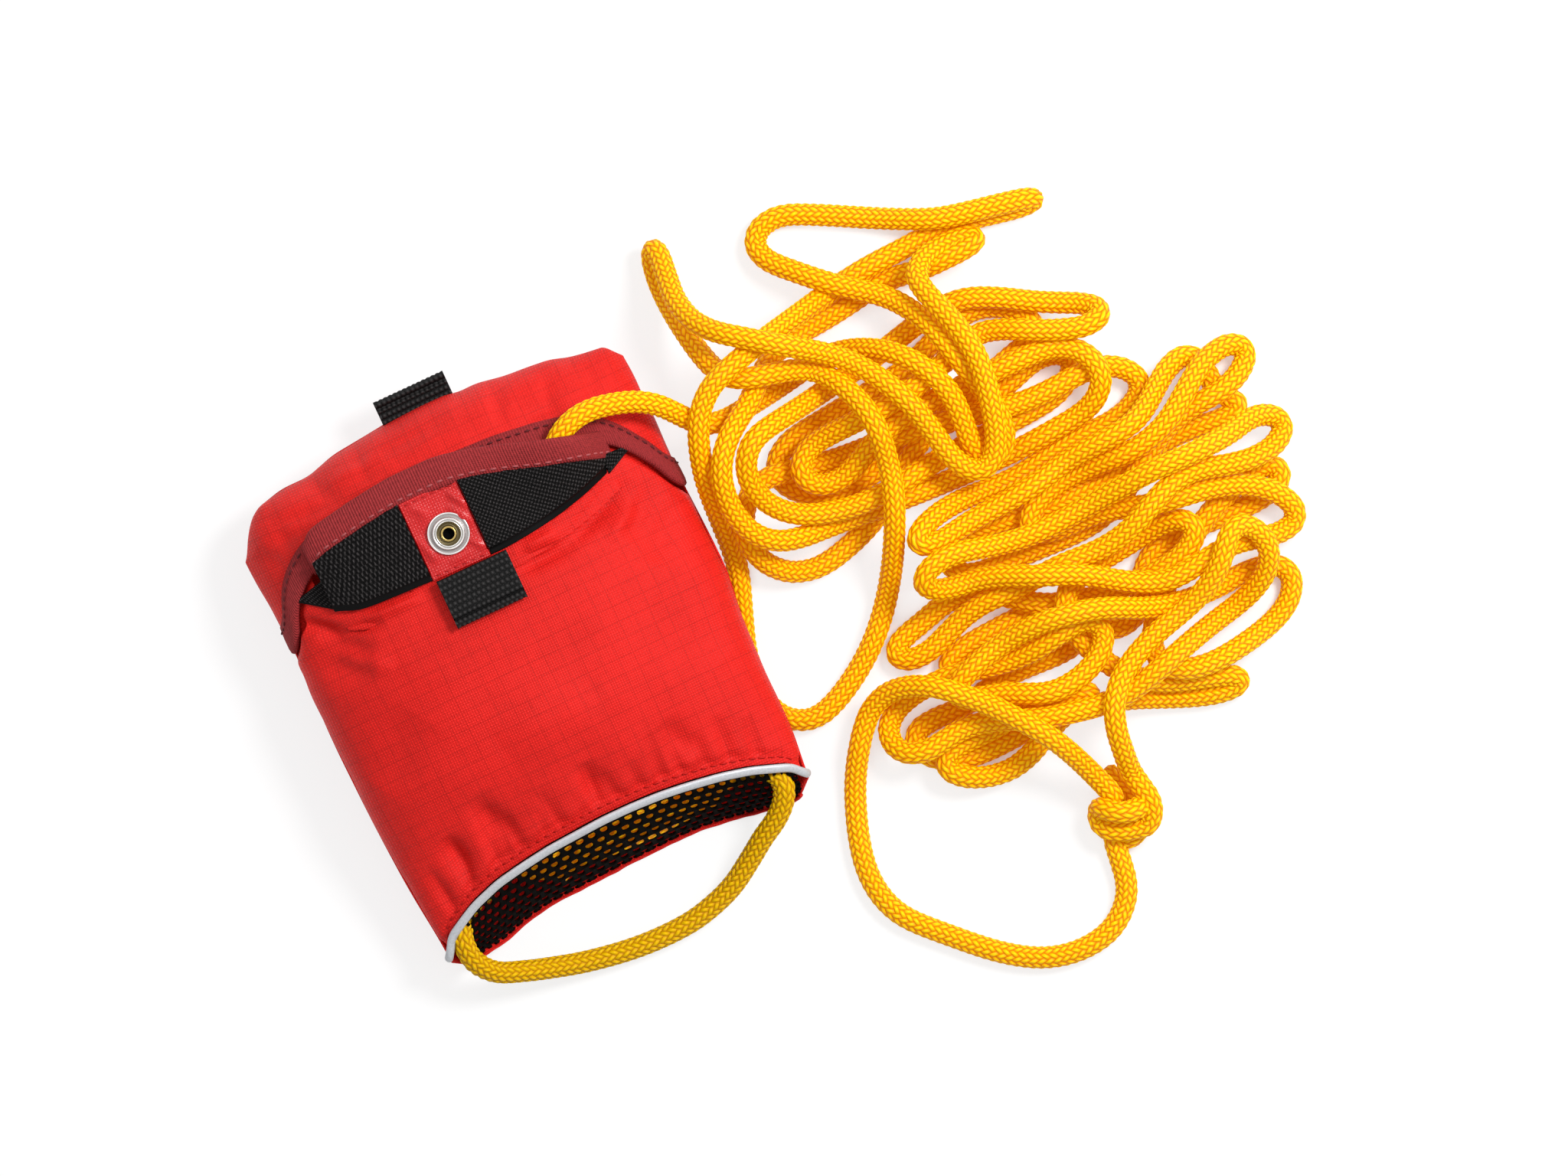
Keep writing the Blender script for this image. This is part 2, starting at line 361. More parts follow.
def rough(points, size, seed, depth=1):
    """Soft noise from -1 to 1 at each point, with lumps of the given size in millimetres."""
    flat = np.asarray(points, float).reshape(-1, np.shape(points)[-1])
    values = np.zeros(len(flat))
    for octave in range(depth):
        scale, layer = 2**octave / size, seed * 3.1 + octave
        values += [noise.noise((p[0] * scale + seed, p[1] * scale, layer)) / 2**octave for p in flat]
    return values.reshape(np.shape(points)[:-1])


def smooth_step(value, low, high):
    t = np.clip((value - low) / (high - low), 0, 1)
    return t * t * (3 - 2 * t)


def numbers(rows, columns):
    """A grid of point numbers."""
    return np.arange(rows * columns).reshape(rows, columns)


def closed(number):
    """A grid of point numbers with its first column again at its end."""
    return np.concatenate([number, number[:, :1]], 1)


def cells(number):
    """Quads of a grid of point numbers."""
    return np.stack([number[:-1, :-1], number[:-1, 1:], number[1:, 1:], number[1:, :-1]], -1).reshape(-1, 4)


def normals(grid):
    """Normals of a grid whose columns run to the right and rows away from the viewer."""
    return unit(np.cross(np.gradient(grid, axis=1), np.gradient(grid, axis=0)))


class Shape:
    """The points, faces, pattern places and material numbers of one piece while it is being made."""

    def __init__(self):
        self.points, self.corners, self.sizes, self.places, self.slots, self.count = [], [], [], [], [], 0

    def add(self, points, faces, places, slot=0):
        self.points.append(np.reshape(points, (-1, 3)))
        self.corners.append(np.ravel(faces) + self.count)
        self.sizes.append(np.full(len(faces), np.shape(faces)[1]))
        self.places.append(np.reshape(places, (-1, 2)))
        self.slots.append(np.full(len(faces), slot))
        self.count += len(self.points[-1])

    def sheet(self, outer, thickness, places, slot=0):
        """A closed sheet below a grid of points, with its own thickness."""
        inner = outer - normals(outer) * widened(thickness, 3)
        number = numbers(*outer.shape[:2])
        quads, size = cells(number), number.size
        edge = np.concatenate([number[0, :-1], number[:-1, -1], number[-1, :0:-1], number[:0:-1, 0]])
        ahead = np.roll(edge, -1)
        sides = np.stack([edge, edge + size, ahead + size, ahead], 1)
        faces = np.concatenate([quads, quads[:, ::-1] + size, sides])
        both = np.concatenate([places.reshape(-1, 2)] * 2)
        self.add(np.concatenate([outer.reshape(-1, 3), inner.reshape(-1, 3)]), faces, both[faces], slot)

    def skin_tube(self, rings, places, slot=0):
        """A closed tube through rings of points; places holds one column more than the rings."""
        count, sides = rings.shape[:2]
        spread = cells(numbers(count, sides + 1))
        self.add(rings, cells(closed(numbers(count, sides))), places.reshape(-1, 2)[spread], slot)
        for row, turn in ((0, -1), (count - 1, 1)):
            fan = np.arange(sides)[::turn]
            middle = rings[row].mean(0)
            triangles = np.stack([fan, np.roll(fan, -1), np.full(sides, sides)], 1)
            self.add(np.concatenate([rings[row], middle[None]]), triangles,
                     np.repeat(places[row, 0][None], 3 * sides, 0), slot)

    def piece(self, name, materials, body="bag"):
        """The finished mesh object, riding its body."""
        corners, sizes = np.concatenate(self.corners), np.concatenate(self.sizes)
        mesh = bpy.data.meshes.new(name)
        mesh.vertices.add(self.count)
        mesh.vertices.foreach_set("co", place(np.concatenate(self.points)).ravel())
        mesh.loops.add(len(corners))
        mesh.loops.foreach_set("vertex_index", corners)
        mesh.polygons.add(len(sizes))
        mesh.polygons.foreach_set("loop_start", np.cumsum(sizes) - sizes)
        mesh.polygons.foreach_set("use_smooth", np.ones(len(sizes), bool))
        mesh.uv_layers.new(name="pattern").data.foreach_set("uv", np.concatenate(self.places).ravel())
        for material in materials:
            mesh.materials.append(material)
        mesh.polygons.foreach_set("material_index", np.concatenate(self.slots))
        mesh.update(calc_edges=True)
        shell = bmesh.new()
        shell.from_mesh(mesh)
        bmesh.ops.remove_doubles(shell, verts=shell.verts, dist=1e-7)
        bmesh.ops.recalc_face_normals(shell, faces=shell.faces)
        shell.to_mesh(mesh)
        shell.free()
        piece = bpy.data.objects.new(name, mesh)
        bpy.context.scene.collection.objects.link(piece)
        if body:
            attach(piece, body)
        return piece


def distances(line):
    """How far along a line each of its points lies."""
    return np.concatenate([[0], np.cumsum(np.linalg.norm(np.diff(line, axis=0), axis=1))])


def points_at(spots, far, line):
    """Points at places along a line, given how far along it its own points lie."""
    return np.stack([np.interp(spots, far, line[:, k]) for k in range(3)], 1)


def curve(a, b, c, d, t):
    """A smooth curve from b to c that also looks to the points before and after them."""
    return 0.5 * (2 * b + (c - a) * t + (2 * a - 5 * b + 4 * c - d) * t**2 + (3 * b - a - 3 * c + d) * t**3)


def spline(points):
    """A smooth line through points, with its own points set evenly apart."""
    points = np.asarray(points, float)
    ends = np.concatenate([2 * points[:1] - points[1:2], points, 2 * points[-1:] - points[-2:-1]])
    t = np.linspace(0, 1, SPLINE_PARTS + 1)[:-1, None]
    fine = [curve(*four, t) for four in zip(ends, ends[1:], ends[2:], ends[3:])]
    return even(np.concatenate([*fine, points[-1:]]), LINE_STEP)


def even(line, spacing):
    far = distances(line)
    return points_at(np.linspace(0, far[-1], max(2, int(far[-1] / spacing) + 1)), far, line)


def line_length(line):
    return float(np.linalg.norm(np.diff(line, axis=0), axis=1).sum())


def frames(line):
    """Two directions square to a line at each of its points, turning as little as they can along it."""
    ways = unit(np.gradient(line, axis=0))
    side = unit(np.cross(ways[0], (0, 0, 1) if abs(ways[0][2]) < 0.9 else (1, 0, 0)))
    sides = []
    for way in ways:
        side = side - way * side.dot(way)
        side = side / np.linalg.norm(side)
        sides.append(side)
    sides = np.array(sides)
    return sides, np.cross(ways, sides)


def round_tube(line, radius, sides):
    """Rings round a line; the radius is one number, one for each point, or one for each point and side."""
    first, second = frames(line)
    turn = np.arange(sides) / sides * 2 * math.pi
    radius = np.broadcast_to(widened(radius, 2), (len(line), sides))
    out = first[:, None] * np.cos(turn)[:, None] + second[:, None] * np.sin(turn)[:, None]
    return line[:, None] + out * radius[..., None]


# Skin of the bag


def half_at(y, sizes):
    return sizes.bag_width * METRE / 2 * table(y, WIDTH_STEPS, WIDTH_EASE)


def height_at(y, sizes):
    return sizes.bag_height * METRE * table(y, HEIGHT_STEPS, HEIGHT_EASE)


def across(s, sizes):
    """Distance from the bag's middle at a share of the turn across it."""
    return sizes.bag_width * METRE / 2 * np.sin(s * math.pi / 2)


def turn_at(x, y, sizes):
    """Share of the turn across the bag at a distance from its middle."""
    return np.arcsin(np.clip(x / half_at(y, sizes), -1, 1)) * 2 / math.pi


def edge_at(s, steps, sizes):
    """An edge of the bag, given from left to right, at a share of the turn across it."""
    return table(across(s, sizes), steps, EDGE_EASE)


def dome(s, y, inset, sizes):
    """Share of the skin's height that is left where it rounds off to the top edge."""
    start = edge_at(s, TOP_EDGE, sizes) - inset - TOP_ROUND
    return np.sqrt(1 - np.clip((y - start) / TOP_ROUND, 0, 1) ** 2)


def flare(s, y):
    """How far the right side stands out."""
    at_base = BASE_FLARE * (1 - smooth_step(y, 15, 45))
    below_hood = HOOD_FLARE * smooth_step(y, 55, 80) * (1 - smooth_step(y, 115, 138))
    return smooth_step(s, 0.3, 0.9) * (at_base + below_hood)


def skin_points(s, y, high, inset, sizes):
    """Points of the skin at a share of the turn across the bag, a distance along it and a height."""
    return points_of((half_at(y, sizes) - inset) * np.sin(s * math.pi / 2) + flare(s, y), y, high)


def upper_skin(s, y, inset, sizes):
    """Points of the upper skin, set in by a distance."""
    bow = np.cos(s * math.pi / 2).clip(0) ** SHOULDER
    rise = (height_at(y, sizes) - SEAM - inset) * bow * dome(s, y, inset, sizes)
    return skin_points(s, y, SEAM + rise, inset, sizes)


def lower_skin(s, y, inset, sizes):
    """Points of the lower skin, flat where the bag lies on the floor."""
    aside = np.abs(np.sin(s * math.pi / 2))
    lift = SEAM * ((aside - FLAT_SHARE) / (1 - FLAT_SHARE)).clip(0) ** SIDE_RISE
    drop = (SEAM - lift - inset).clip(0) * dome(s, y, inset, sizes)
    return skin_points(s, y, SEAM - drop, inset, sizes)


def lip_fold(x):
    return table(x, LIP_FOLD, LIP_EASE)


def lip_rim(x):
    return table(x, LIP_RIM, LIP_EASE)


def lip_point(x, y, lift, sizes):
    """Points of the turned-up lip, straight from its fold to its rim."""
    low = lip_fold(x)
    t = np.clip((y - low) / (lip_rim(x) - low), 0, 1)
    share = (1 - (x / half_at(low, sizes)) ** 2) ** (SHOULDER / 2)
    foot = between(SEAM, height_at(low, sizes), share)
    dip = LIP_DIP * smooth_step(x, 45, 53)
    return points_of(x, y, between(foot, table(x, LIP_RIM_HEIGHT, LIP_EASE), t) - dip + lift)


def lip_strip(across_lip, rows, above, sizes):
    """Places across and along the lip from just above its fold to its binding, and the strip's lower edge."""
    x, v = np.meshgrid(across_lip, np.linspace(0, 1, rows))
    low, high = lip_fold(x) + above, lip_rim(x) - sizes.lip_binding * METRE + 1.2
    return x, between(low, high, v), low


def crease(points, start, stop, width, depth):
    """A soft fold along a line in plan, deepest in the middle of it."""
    start, way = np.array(start, float), np.array(stop, float) - np.array(start, float)
    t = ((points[..., :2] - start) @ way) / (way @ way)
    off = points[..., :2] - start - t[..., None] * way
    taper = np.clip(1 - (2 * t - 1) ** 2, 0, 1)
    return depth * taper * np.exp(-((np.linalg.norm(off, axis=-1) / width) ** 2))


def stitches(shape, line, up, length, gap, thick, slot=0):
    """A row of thread stitches along a line, each a short arc that dips into the cloth at both ends."""
    far, rings, sides, tilt = distances(line), 6, 6, 0.12
    swell = np.sin(np.linspace(tilt, math.pi - tilt, rings))
    for start in np.arange(gap, far[-1] - length, length + gap):
        spots = start + length * np.linspace(0, 1, rings)
        lift = points_at(spots, far, up) * (swell * thick * STITCH_RISE - thick * STITCH_SUNK)[:, None]
        thread = round_tube(points_at(spots, far, line) + lift, thick * (0.55 + 0.45 * swell), sides)
        shape.skin_tube(thread, np.zeros((rings, sides + 1, 2)), slot)


def band(shape, line, inward, up, section, slot=0):
    """A folded strip along an edge; the section is given inward from the edge and up from the cloth."""
    section = np.asarray(section, float)
    rings = line[:, None] + inward[:, None] * section[..., :1] + up[:, None] * section[..., 1:]
    shown = closed(np.broadcast_to(section, rings.shape[:2] + (2,)))
    girth = np.cumsum(np.linalg.norm(np.diff(shown, axis=1), axis=2), 1)
    girth = np.concatenate([np.zeros((len(line), 1)), girth], 1)
    shape.skin_tube(rings, points_of(distances(line)[:, None], girth), slot)


def bound_edge(line, inward, up, section, wide, wave, sewn_in, **stitch):
    """A binding folded over an edge and sewn on, with its upper side waving a little."""
    shape, section = Shape(), np.array(section)
    band(shape, line, inward, up, points_of(section[None, :, 0] * wide, section[None, :, 1] + wave[:, None]))
    sewn = line + inward * (wide - sewn_in) + up * (1.0 + wave)[:, None]
    stitches(shape, sewn, up, **stitch, slot=1)
    return shape


# Braided rope

# Strands that go round the cover each way, how round they are, and the height left where one dips
BRAID_PAIRS, STRAND_ROUND, STRAND_DIP = 12, 0.5, 0.15
# An end of a rope begins with this share of its thickness, and grows by a whole one in so many millimetres
END_SHARE, END_GROWTH = 0.55, 3
# Distance between the points a strand is laid by, points laid at once, nearest points along the rope that
# can't lie below each other, and points to each side that are raised with one
ROPE_STEP, ROPE_CHUNK, ROPE_SKIP, ROPE_REACH = 6, 10, 4, 10
# Steepest slope and tightest bend of a strand over another, and a length that sets the end loop apart
ROPE_SLOPE, ROPE_BEND, LOOP_APART = 0.9, 14, 1000


def braid_height(along, turn, lead):
    """Height from 0 to 1 of a two-over-two braid at a distance along a rope and a share of a turn."""
    a, b = BRAID_PAIRS * (turn + along / lead), BRAID_PAIRS * (turn - along / lead)
    beat = np.mod(np.floor(a) + np.floor(b), 4)
    first = beat < 2
    wide = np.where(first, a % 1, b % 1)
    run = (np.where(first, b % 1, a % 1) + np.mod(beat, 2)) / 2
    return np.sin(math.pi * wide) ** STRAND_ROUND * (STRAND_DIP + (1 - STRAND_DIP) * np.sin(math.pi * run))


def rope_rings(line, sizes, relief=0.5, spacing=0.65, sides=48):
    """The evened line of a braided rope, rings with their strands standing out, and its pattern places."""
    line = even(line, spacing)
    far = distances(line)
    turn = np.arange(sides + 1) / sides
    hollow = 1 - braid_height(far[:, None], turn[None, :-1], sizes.braid_lead * METRE)
    grown = sizes.rope_cover * METRE / 2 - relief * hollow
    taper = np.minimum(1, END_SHARE + np.minimum(far, far[-1] - far) / END_GROWTH)
    return line, round_tube(line, grown * taper[:, None], sides), points_of(far[:, None], turn[None])


def rope_strand(shape, line, sizes, **settings):
    """Adds a whole rope to a shape and gives the line it follows."""
    line, rings, places = rope_rings(line, sizes, **settings)
    shape.skin_tube(rings, places)
    return line


def sag(far):
    """How far a strand drops beside a point that holds it up."""
    far = np.abs(far)
    bowed = far * far / (2 * ROPE_BEND)
    return np.where(far < ROPE_SLOPE * ROPE_BEND, bowed, ROPE_SLOPE * far - ROPE_SLOPE**2 * ROPE_BEND / 2)


def drawn_points(rows, radius, first_row):
    """Points set along a route, each with the height it is held at, its row and its place in the laying."""
    drawn = [((*point, radius)[:3], row + first_row, rank)
             for row, (rank, points) in enumerate(rows) for point in points]
    spots = np.array([point for point, _, _ in drawn], float)
    found = []
    for i in range(len(drawn) - 1):
        a, b, c, d = spots[max(i - 1, 0)], spots[i], spots[i + 1], spots[min(i + 2, len(spots) - 1)]
        parts = max(1, int(np.hypot(*(c - b)[:2]) / ROPE_STEP + 0.5))
        for t in np.arange(parts) / parts:
            p = curve(a, b, c, d, t)
            found.append((p[0], p[1], max(radius, p[2]), drawn[i][1], drawn[i][2]))
    found.append((*spots[-1], drawn[-1][1], drawn[-1][2]))
    return found


def laid_rope(sizes):
    """The rope's and the end loop's centre lines, each strand laid over those already beneath it."""
    radius = sizes.rope_cover * METRE / 2
    clear = sizes.rope_cover * METRE + sizes.strand_gap * METRE
    main = drawn_points(ROPE_ROWS, radius, 0)
    points = np.array(main + drawn_points(LOOP_ROWS, radius, len(ROPE_ROWS)))
    plan, held, rows, ranks = points[:, :2], points[:, 2], points[:, 3], points[:, 4]
    steps = np.hypot(*np.diff(plan, axis=0).T)
    steps[len(main) - 1] += LOOP_APART
    along = np.concatenate([[0], np.cumsum(steps)])
    starts, run = [], 0
    for i in range(len(points)):
        run = run + 1 if i and rows[i] == rows[i - 1] and run < ROPE_CHUNK - 1 else 0
        if run == 0:
            starts.append(i)
    spans = sorted(zip(starts, [*starts[1:], len(points)]), key=lambda span: (ranks[span[0]], span[0]))
    order, z = np.arange(len(points)), np.full(len(points), -1.0)
    for a, b in spans:
        low = []
        for i in range(a, b):
            apart = np.hypot(*(plan - plan[i]).T)
            near = (z > 0) & (apart < clear) & (np.abs(order - i) >= ROPE_SKIP)
            low.append(max([held[i], *(z[near] + np.sqrt(clear**2 - apart[near] ** 2))]))
        laid = z.copy()
        for i in range(max(0, a - ROPE_REACH), min(len(points), b + ROPE_REACH)):
            lifted = (np.array(low) - sag(along[a:b] - along[i])).max()
            if a <= i < b:
                reach = order[max(0, i - ROPE_REACH):i + ROPE_REACH + 1]
                beside = [k for k in reach if not a <= k < b and z[k] > 0]
                laid[i] = max([radius, lifted, *(z[beside] - sag(along[beside] - along[i]))])
            elif z[i] > 0:
                laid[i] = max(z[i], lifted)
        z = laid
    whole = np.column_stack([plan, z])
    return whole[:len(main)], whole[len(main):]


# Materials

PAINTED = {"Base Color": "paint", "Normal": "bump"}
TWO_COLOURS = {"data_type": "RGBA", "out": 2}
WHITE = (1, 1, 1, 1)


def to_linear(shade):
    """The linear colour of an sRGB hex shade."""
    parts = [int(shade[k:k + 2], 16) / 255 for k in (1, 3, 5)]
    return tuple(c / 12.92 if c <= 0.04045 else ((c + 0.055) / 1.055) ** 2.4 for c in parts)


def opaque(colour, share=1.0):
    return (*(min(1, channel * share) for channel in colour), 1)


def set_inputs(tree, values, node, inputs):
    """Sets a node's inputs: a name is linked to the value kept under it, anything else is set as it is."""
    for key, value in inputs.items() if isinstance(inputs, dict) else enumerate(inputs):
        if isinstance(value, str):
            tree.links.new(values[value], node.inputs[key])
        else:
            node.inputs[key].default_value = value


def add_nodes(tree, values, *rows):
    """Adds nodes: a row has its result's name, a node's kind or a math operation, inputs and settings."""
    for name, kind, inputs, *settings in rows:
        settings = dict(*settings)
        out = settings.pop("out", 0)
        node = tree.nodes.new("ShaderNodeMath" if kind.isupper() else "ShaderNode" + kind)
        if kind.isupper():
            node.operation = kind
        for key, value in settings.items():
            setattr(node, key, value)
        set_inputs(tree, values, node, inputs)
        values[name] = node.outputs[out]


def surface(name, constants, rows, ends=PAINTED):
    """A material made by rows of nodes from its pattern place, u and v in mm, or v in turns on a rope."""
    material = bpy.data.materials.new(name)
    material.use_nodes = True
    tree, values = material.node_tree, {}
    add_nodes(tree, values, ("place", "UVMap", {}, {"uv_map": "pattern"}), ("u", "SeparateXYZ", {0: "place"}),
              ("v", "SeparateXYZ", {0: "place"}, {"out": 1}), *rows)
    constants = {key.replace("_", " "): value for key, value in constants.items()}
    set_inputs(tree, values, tree.nodes["Principled BSDF"], {**constants, **ends})
    return material


def braided_rope(name, colour, shade, bright, lead, through):
    """Floating polypropylene rope: the eye sees plump satin stitches and orange light let through between."""
    strands = [row for way, side in (("a", "ADD"), ("b", "SUBTRACT")) for row in (
        (f"{way} turn", side, ("v", "pitch")), (way, "MULTIPLY", (f"{way} turn", BRAID_PAIRS)),
        (f"{way} whole", "FLOOR", (way,)), (f"{way} part", "FRACT", (way,)))]
    return surface(name, {"Roughness": 0.4, "Specular IOR Level": 0.08, "Emission Color": opaque(shade),
                          "Emission Strength": through}, [
        ("pitch", "DIVIDE", ("u", lead)), *strands, ("count", "ADD", ("a whole", "b whole")),
        ("beat", "FLOORED_MODULO", ("count", 4)), ("first", "LESS_THAN", ("beat", 2)),
        ("second", "SUBTRACT", (1, "first")), ("step", "MODULO", ("beat", 2)),
        ("gap", "SUBTRACT", ("a part", "b part")), ("wide", "MULTIPLY_ADD", ("gap", "first", "b part")),
        ("part run", "MULTIPLY_ADD", ("gap", "second", "b part")), ("long run", "ADD", ("part run", "step")),
        ("run", "MULTIPLY", ("long run", 0.5)), ("wide turn", "MULTIPLY", ("wide", math.pi)),
        ("wide wave", "SINE", ("wide turn",)), ("wide swell", "POWER", ("wide wave", STRAND_ROUND)),
        ("run turn", "MULTIPLY", ("run", math.pi)), ("run wave", "SINE", ("run turn",)),
        ("run swell", "MULTIPLY_ADD", ("run wave", 1 - STRAND_DIP, STRAND_DIP)),
        ("height", "MULTIPLY", ("wide swell", "run swell")),
        ("hair across", "MULTIPLY", ("wide", 6)), ("hair along", "MULTIPLY", ("run", 0.9)),
        ("hair seed", "MULTIPLY_ADD", ("count", 1.7, "a whole")),
        ("hair place", "CombineXYZ", ("hair across", "hair along", "hair seed")),
        ("hair", "TexNoise", {"Vector": "hair place", "Scale": 1.0, "Detail": 2.0}),
        ("slow", "MULTIPLY", ("u", 0.02)), ("slow place", "CombineXYZ", ("slow",)),
        ("drift", "TexNoise", {"Vector": "slow place", "Scale": 1.0, "Detail": 2.0}),
        ("crest", "MULTIPLY_ADD", ("hair", 0.5, 0.5)), ("lit", "MULTIPLY", ("crest", "height")),
        ("glow", "MULTIPLY_ADD", ("drift", 0.25, "lit")),
        ("hair height", "MULTIPLY_ADD", ("hair", 0.3, "height")),
        ("depth", "MapRange", {"Value": "height", "From Min": 0.12, "From Max": 0.6}),
        ("body", "Mix", {0: "depth", 6: opaque(shade), 7: opaque(colour)}, TWO_COLOURS),
        ("light", "MapRange", {"Value": "glow", "From Min": 0.4, "From Max": 0.9}),
        ("paint", "Mix", {0: "light", 6: "body", 7: opaque(bright)}, TWO_COLOURS),
        ("bump", "Bump", {"Strength": 0.8, "Distance": 0.0005, "Height": "hair height"}),
    ])


def woven(name, colour, thread, square, dark, **constants):
    """Plain-woven nylon: threads that the eye sees as fine dots, and a faint grid of ripstop threads."""
    each_way = [row for way in "uv" for row in (
        (f"{way} thread", "DIVIDE", (way, thread)), (f"{way} whole", "FLOOR", (f"{way} thread",)),
        (f"{way} turn", "MULTIPLY", (f"{way} thread", math.pi)), (f"{way} sine", "SINE", (f"{way} turn",)),
        (f"{way} bow", "ABSOLUTE", (f"{way} sine",)), (f"{way} slub", "MULTIPLY", (way, 0.16)),
        (f"{way} square", "DIVIDE", (way, square)), (f"{way} edge", "PINGPONG", (f"{way} square", 0.5)))]
    return surface(name, constants, [
        *each_way, ("count", "ADD", ("u whole", "v whole")), ("over", "FLOORED_MODULO", ("count", 2)),
        ("under", "SUBTRACT", (1, "over")), ("dot", "MULTIPLY", ("u bow", "v bow")),
        ("warp", "MULTIPLY", ("dot", "over")), ("weft", "MULTIPLY", ("dot", "under")),
        ("weave", "MULTIPLY_ADD", ("weft", 0.55, "warp")),
        ("edge", "MINIMUM", ("u edge", "v edge")), ("line", "LESS_THAN", ("edge", 0.05)),
        ("ribbed", "MULTIPLY_ADD", ("line", 0.3, "weave")),
        ("gridded", "MULTIPLY_ADD", ("line", -0.24, "weave")),
        ("blotch", "TexNoise", {"Vector": "place", "Scale": 0.05, "Detail": 3.0}),
        ("broad", "MULTIPLY", ("blotch", 0.4)), ("warp place", "CombineXYZ", ("u thread", "v slub")),
        ("weft place", "CombineXYZ", ("u slub", "v thread")),
        ("warp slub", "TexNoise", {"Vector": "warp place", "Scale": 0.7, "Detail": 1.0}),
        ("weft slub", "TexNoise", {"Vector": "weft place", "Scale": 0.7, "Detail": 1.0}),
        ("slubs", "ADD", ("warp slub", "weft slub")), ("soft", "MULTIPLY_ADD", ("slubs", 0.28, "broad")),
        ("tone", "MULTIPLY_ADD", ("gridded", 0.6, "soft")),
        ("share", "MapRange", {"Value": "tone", "From Min": 0.2, "From Max": 1.0}),
        ("paint", "Mix", {0: "share", 6: opaque(colour, dark), 7: opaque(colour)}, TWO_COLOURS),
        ("bump", "Bump", {"Strength": 0.6, "Distance": 0.0003, "Height": "ribbed"}),
    ])


def grosgrain(name, colour, rib=0.95, cross=0.7):
    """Grosgrain binding: close ribs across the ribbon, so it looks matte and slightly corded."""
    return surface(name, {"Roughness": 0.75, "Specular IOR Level": 0.15}, [
        ("rib turn", "MULTIPLY", ("u", 2 * math.pi / rib)), ("rib", "SINE", ("rib turn",)),
        ("cross turn", "MULTIPLY", ("v", 2 * math.pi / cross)), ("cross", "SINE", ("cross turn",)),
        ("height", "MULTIPLY_ADD", ("cross", 0.3, "rib")),
        ("fuzz", "TexNoise", {"Vector": "place", "Scale": 0.9, "Detail": 2.0}),
        ("tone", "MULTIPLY_ADD", ("height", 0.2, "fuzz")),
        ("paint", "Mix", {0: "tone", 6: opaque(colour, 0.55), 7: opaque(colour, 1.4)}, TWO_COLOURS),
        ("bump", "Bump", {"Strength": 0.6, "Distance": 0.0002, "Height": "height"}),
    ])


def webbing(name, colour, rib, knot):
    """Nylon webbing: plump ribs across it, with dark gaps between them and short broken glints along them."""
    return surface(name, {"Roughness": 0.55, "Specular IOR Level": 0.15}, [
        ("rib turn", "MULTIPLY", ("v", math.pi / rib)), ("rib wave", "SINE", ("rib turn",)),
        ("rib", "ABSOLUTE", ("rib wave",)), ("row", "DIVIDE", ("v", rib)),
        ("row whole", "FLOOR", ("row",)), ("shift", "MULTIPLY", ("row whole", math.pi / 2)),
        ("knot turn", "MULTIPLY_ADD", ("u", math.pi / knot, "shift")), ("knot wave", "SINE", ("knot turn",)),
        ("knot", "ABSOLUTE", ("knot wave",)), ("bead", "MULTIPLY", ("rib", "knot")),
        ("glint", "TexNoise", {"Vector": "place", "Scale": 1.2, "Detail": 2.0}),
        ("tone", "MULTIPLY_ADD", ("glint", 0.5, "bead")),
        ("share", "MapRange", {"Value": "tone", "From Min": 0.45, "From Max": 1.3}),
        ("paint", "Mix", {0: "share", 6: opaque(colour, 0.35), 7: opaque(colour, 5.0)}, TWO_COLOURS),
        ("bump", "Bump", {"Strength": 0.7, "Distance": 0.0004, "Height": "tone"}),
    ])


def hook_tape(name, colour, streak, pitch, selvage):
    """Hook-and-loop tape: a dark pile with pale flecks in rows, and a smooth selvage along its lower edge."""
    each_way = [row for way, long in (("u", 1), ("v", streak)) for row in (
        (f"{way} turn", "MULTIPLY", (way, 2 * math.pi / pitch / long)),
        (f"{way} wave", "SINE", (f"{way} turn",)), (f"{way} hair", "MULTIPLY", (way, 2.3 / long)))]
    return surface(name, {"Specular IOR Level": 0.06}, [
        *each_way, ("dots", "MULTIPLY", ("u wave", "v wave")), ("pile", "GREATER_THAN", ("v", selvage)),
        ("hair place", "CombineXYZ", ("u hair", "v hair")),
        ("hair", "TexNoise", {"Vector": "hair place", "Scale": 1.0, "Detail": 4.0}),
        ("fleck", "MULTIPLY_ADD", ("dots", 0.3, "hair")), ("pile height", "MULTIPLY", ("fleck", "pile")),
        ("matte", "MULTIPLY_ADD", ("pile", 0.35, 0.45)),
        ("share", "MapRange", {"Value": "pile height", "From Min": 0.5, "From Max": 0.95}),
        ("paint", "Mix", {0: "share", 6: opaque(colour), 7: opaque(colour, 22.0)}, TWO_COLOURS),
        ("bump", "Bump", {"Strength": 0.9, "Distance": 0.0005, "Height": "pile height"}),
    ], {**PAINTED, "Roughness": "matte"})


def plain(name, colour, grain, bump, **constants):
    """A surface of one colour with a fine uneven grain, its size and depth given in millimetres."""
    return surface(name, constants, [
        ("speck", "TexNoise", {"Vector": "place", "Scale": 1 / grain, "Detail": 3.0}),
        ("paint", "Mix", {0: "speck", 6: opaque(colour, 0.7), 7: opaque(colour, 1.3)}, TWO_COLOURS),
        ("bump", "Bump", {"Strength": 0.5, "Distance": bump * 0.001, "Height": "speck"}),
    ])


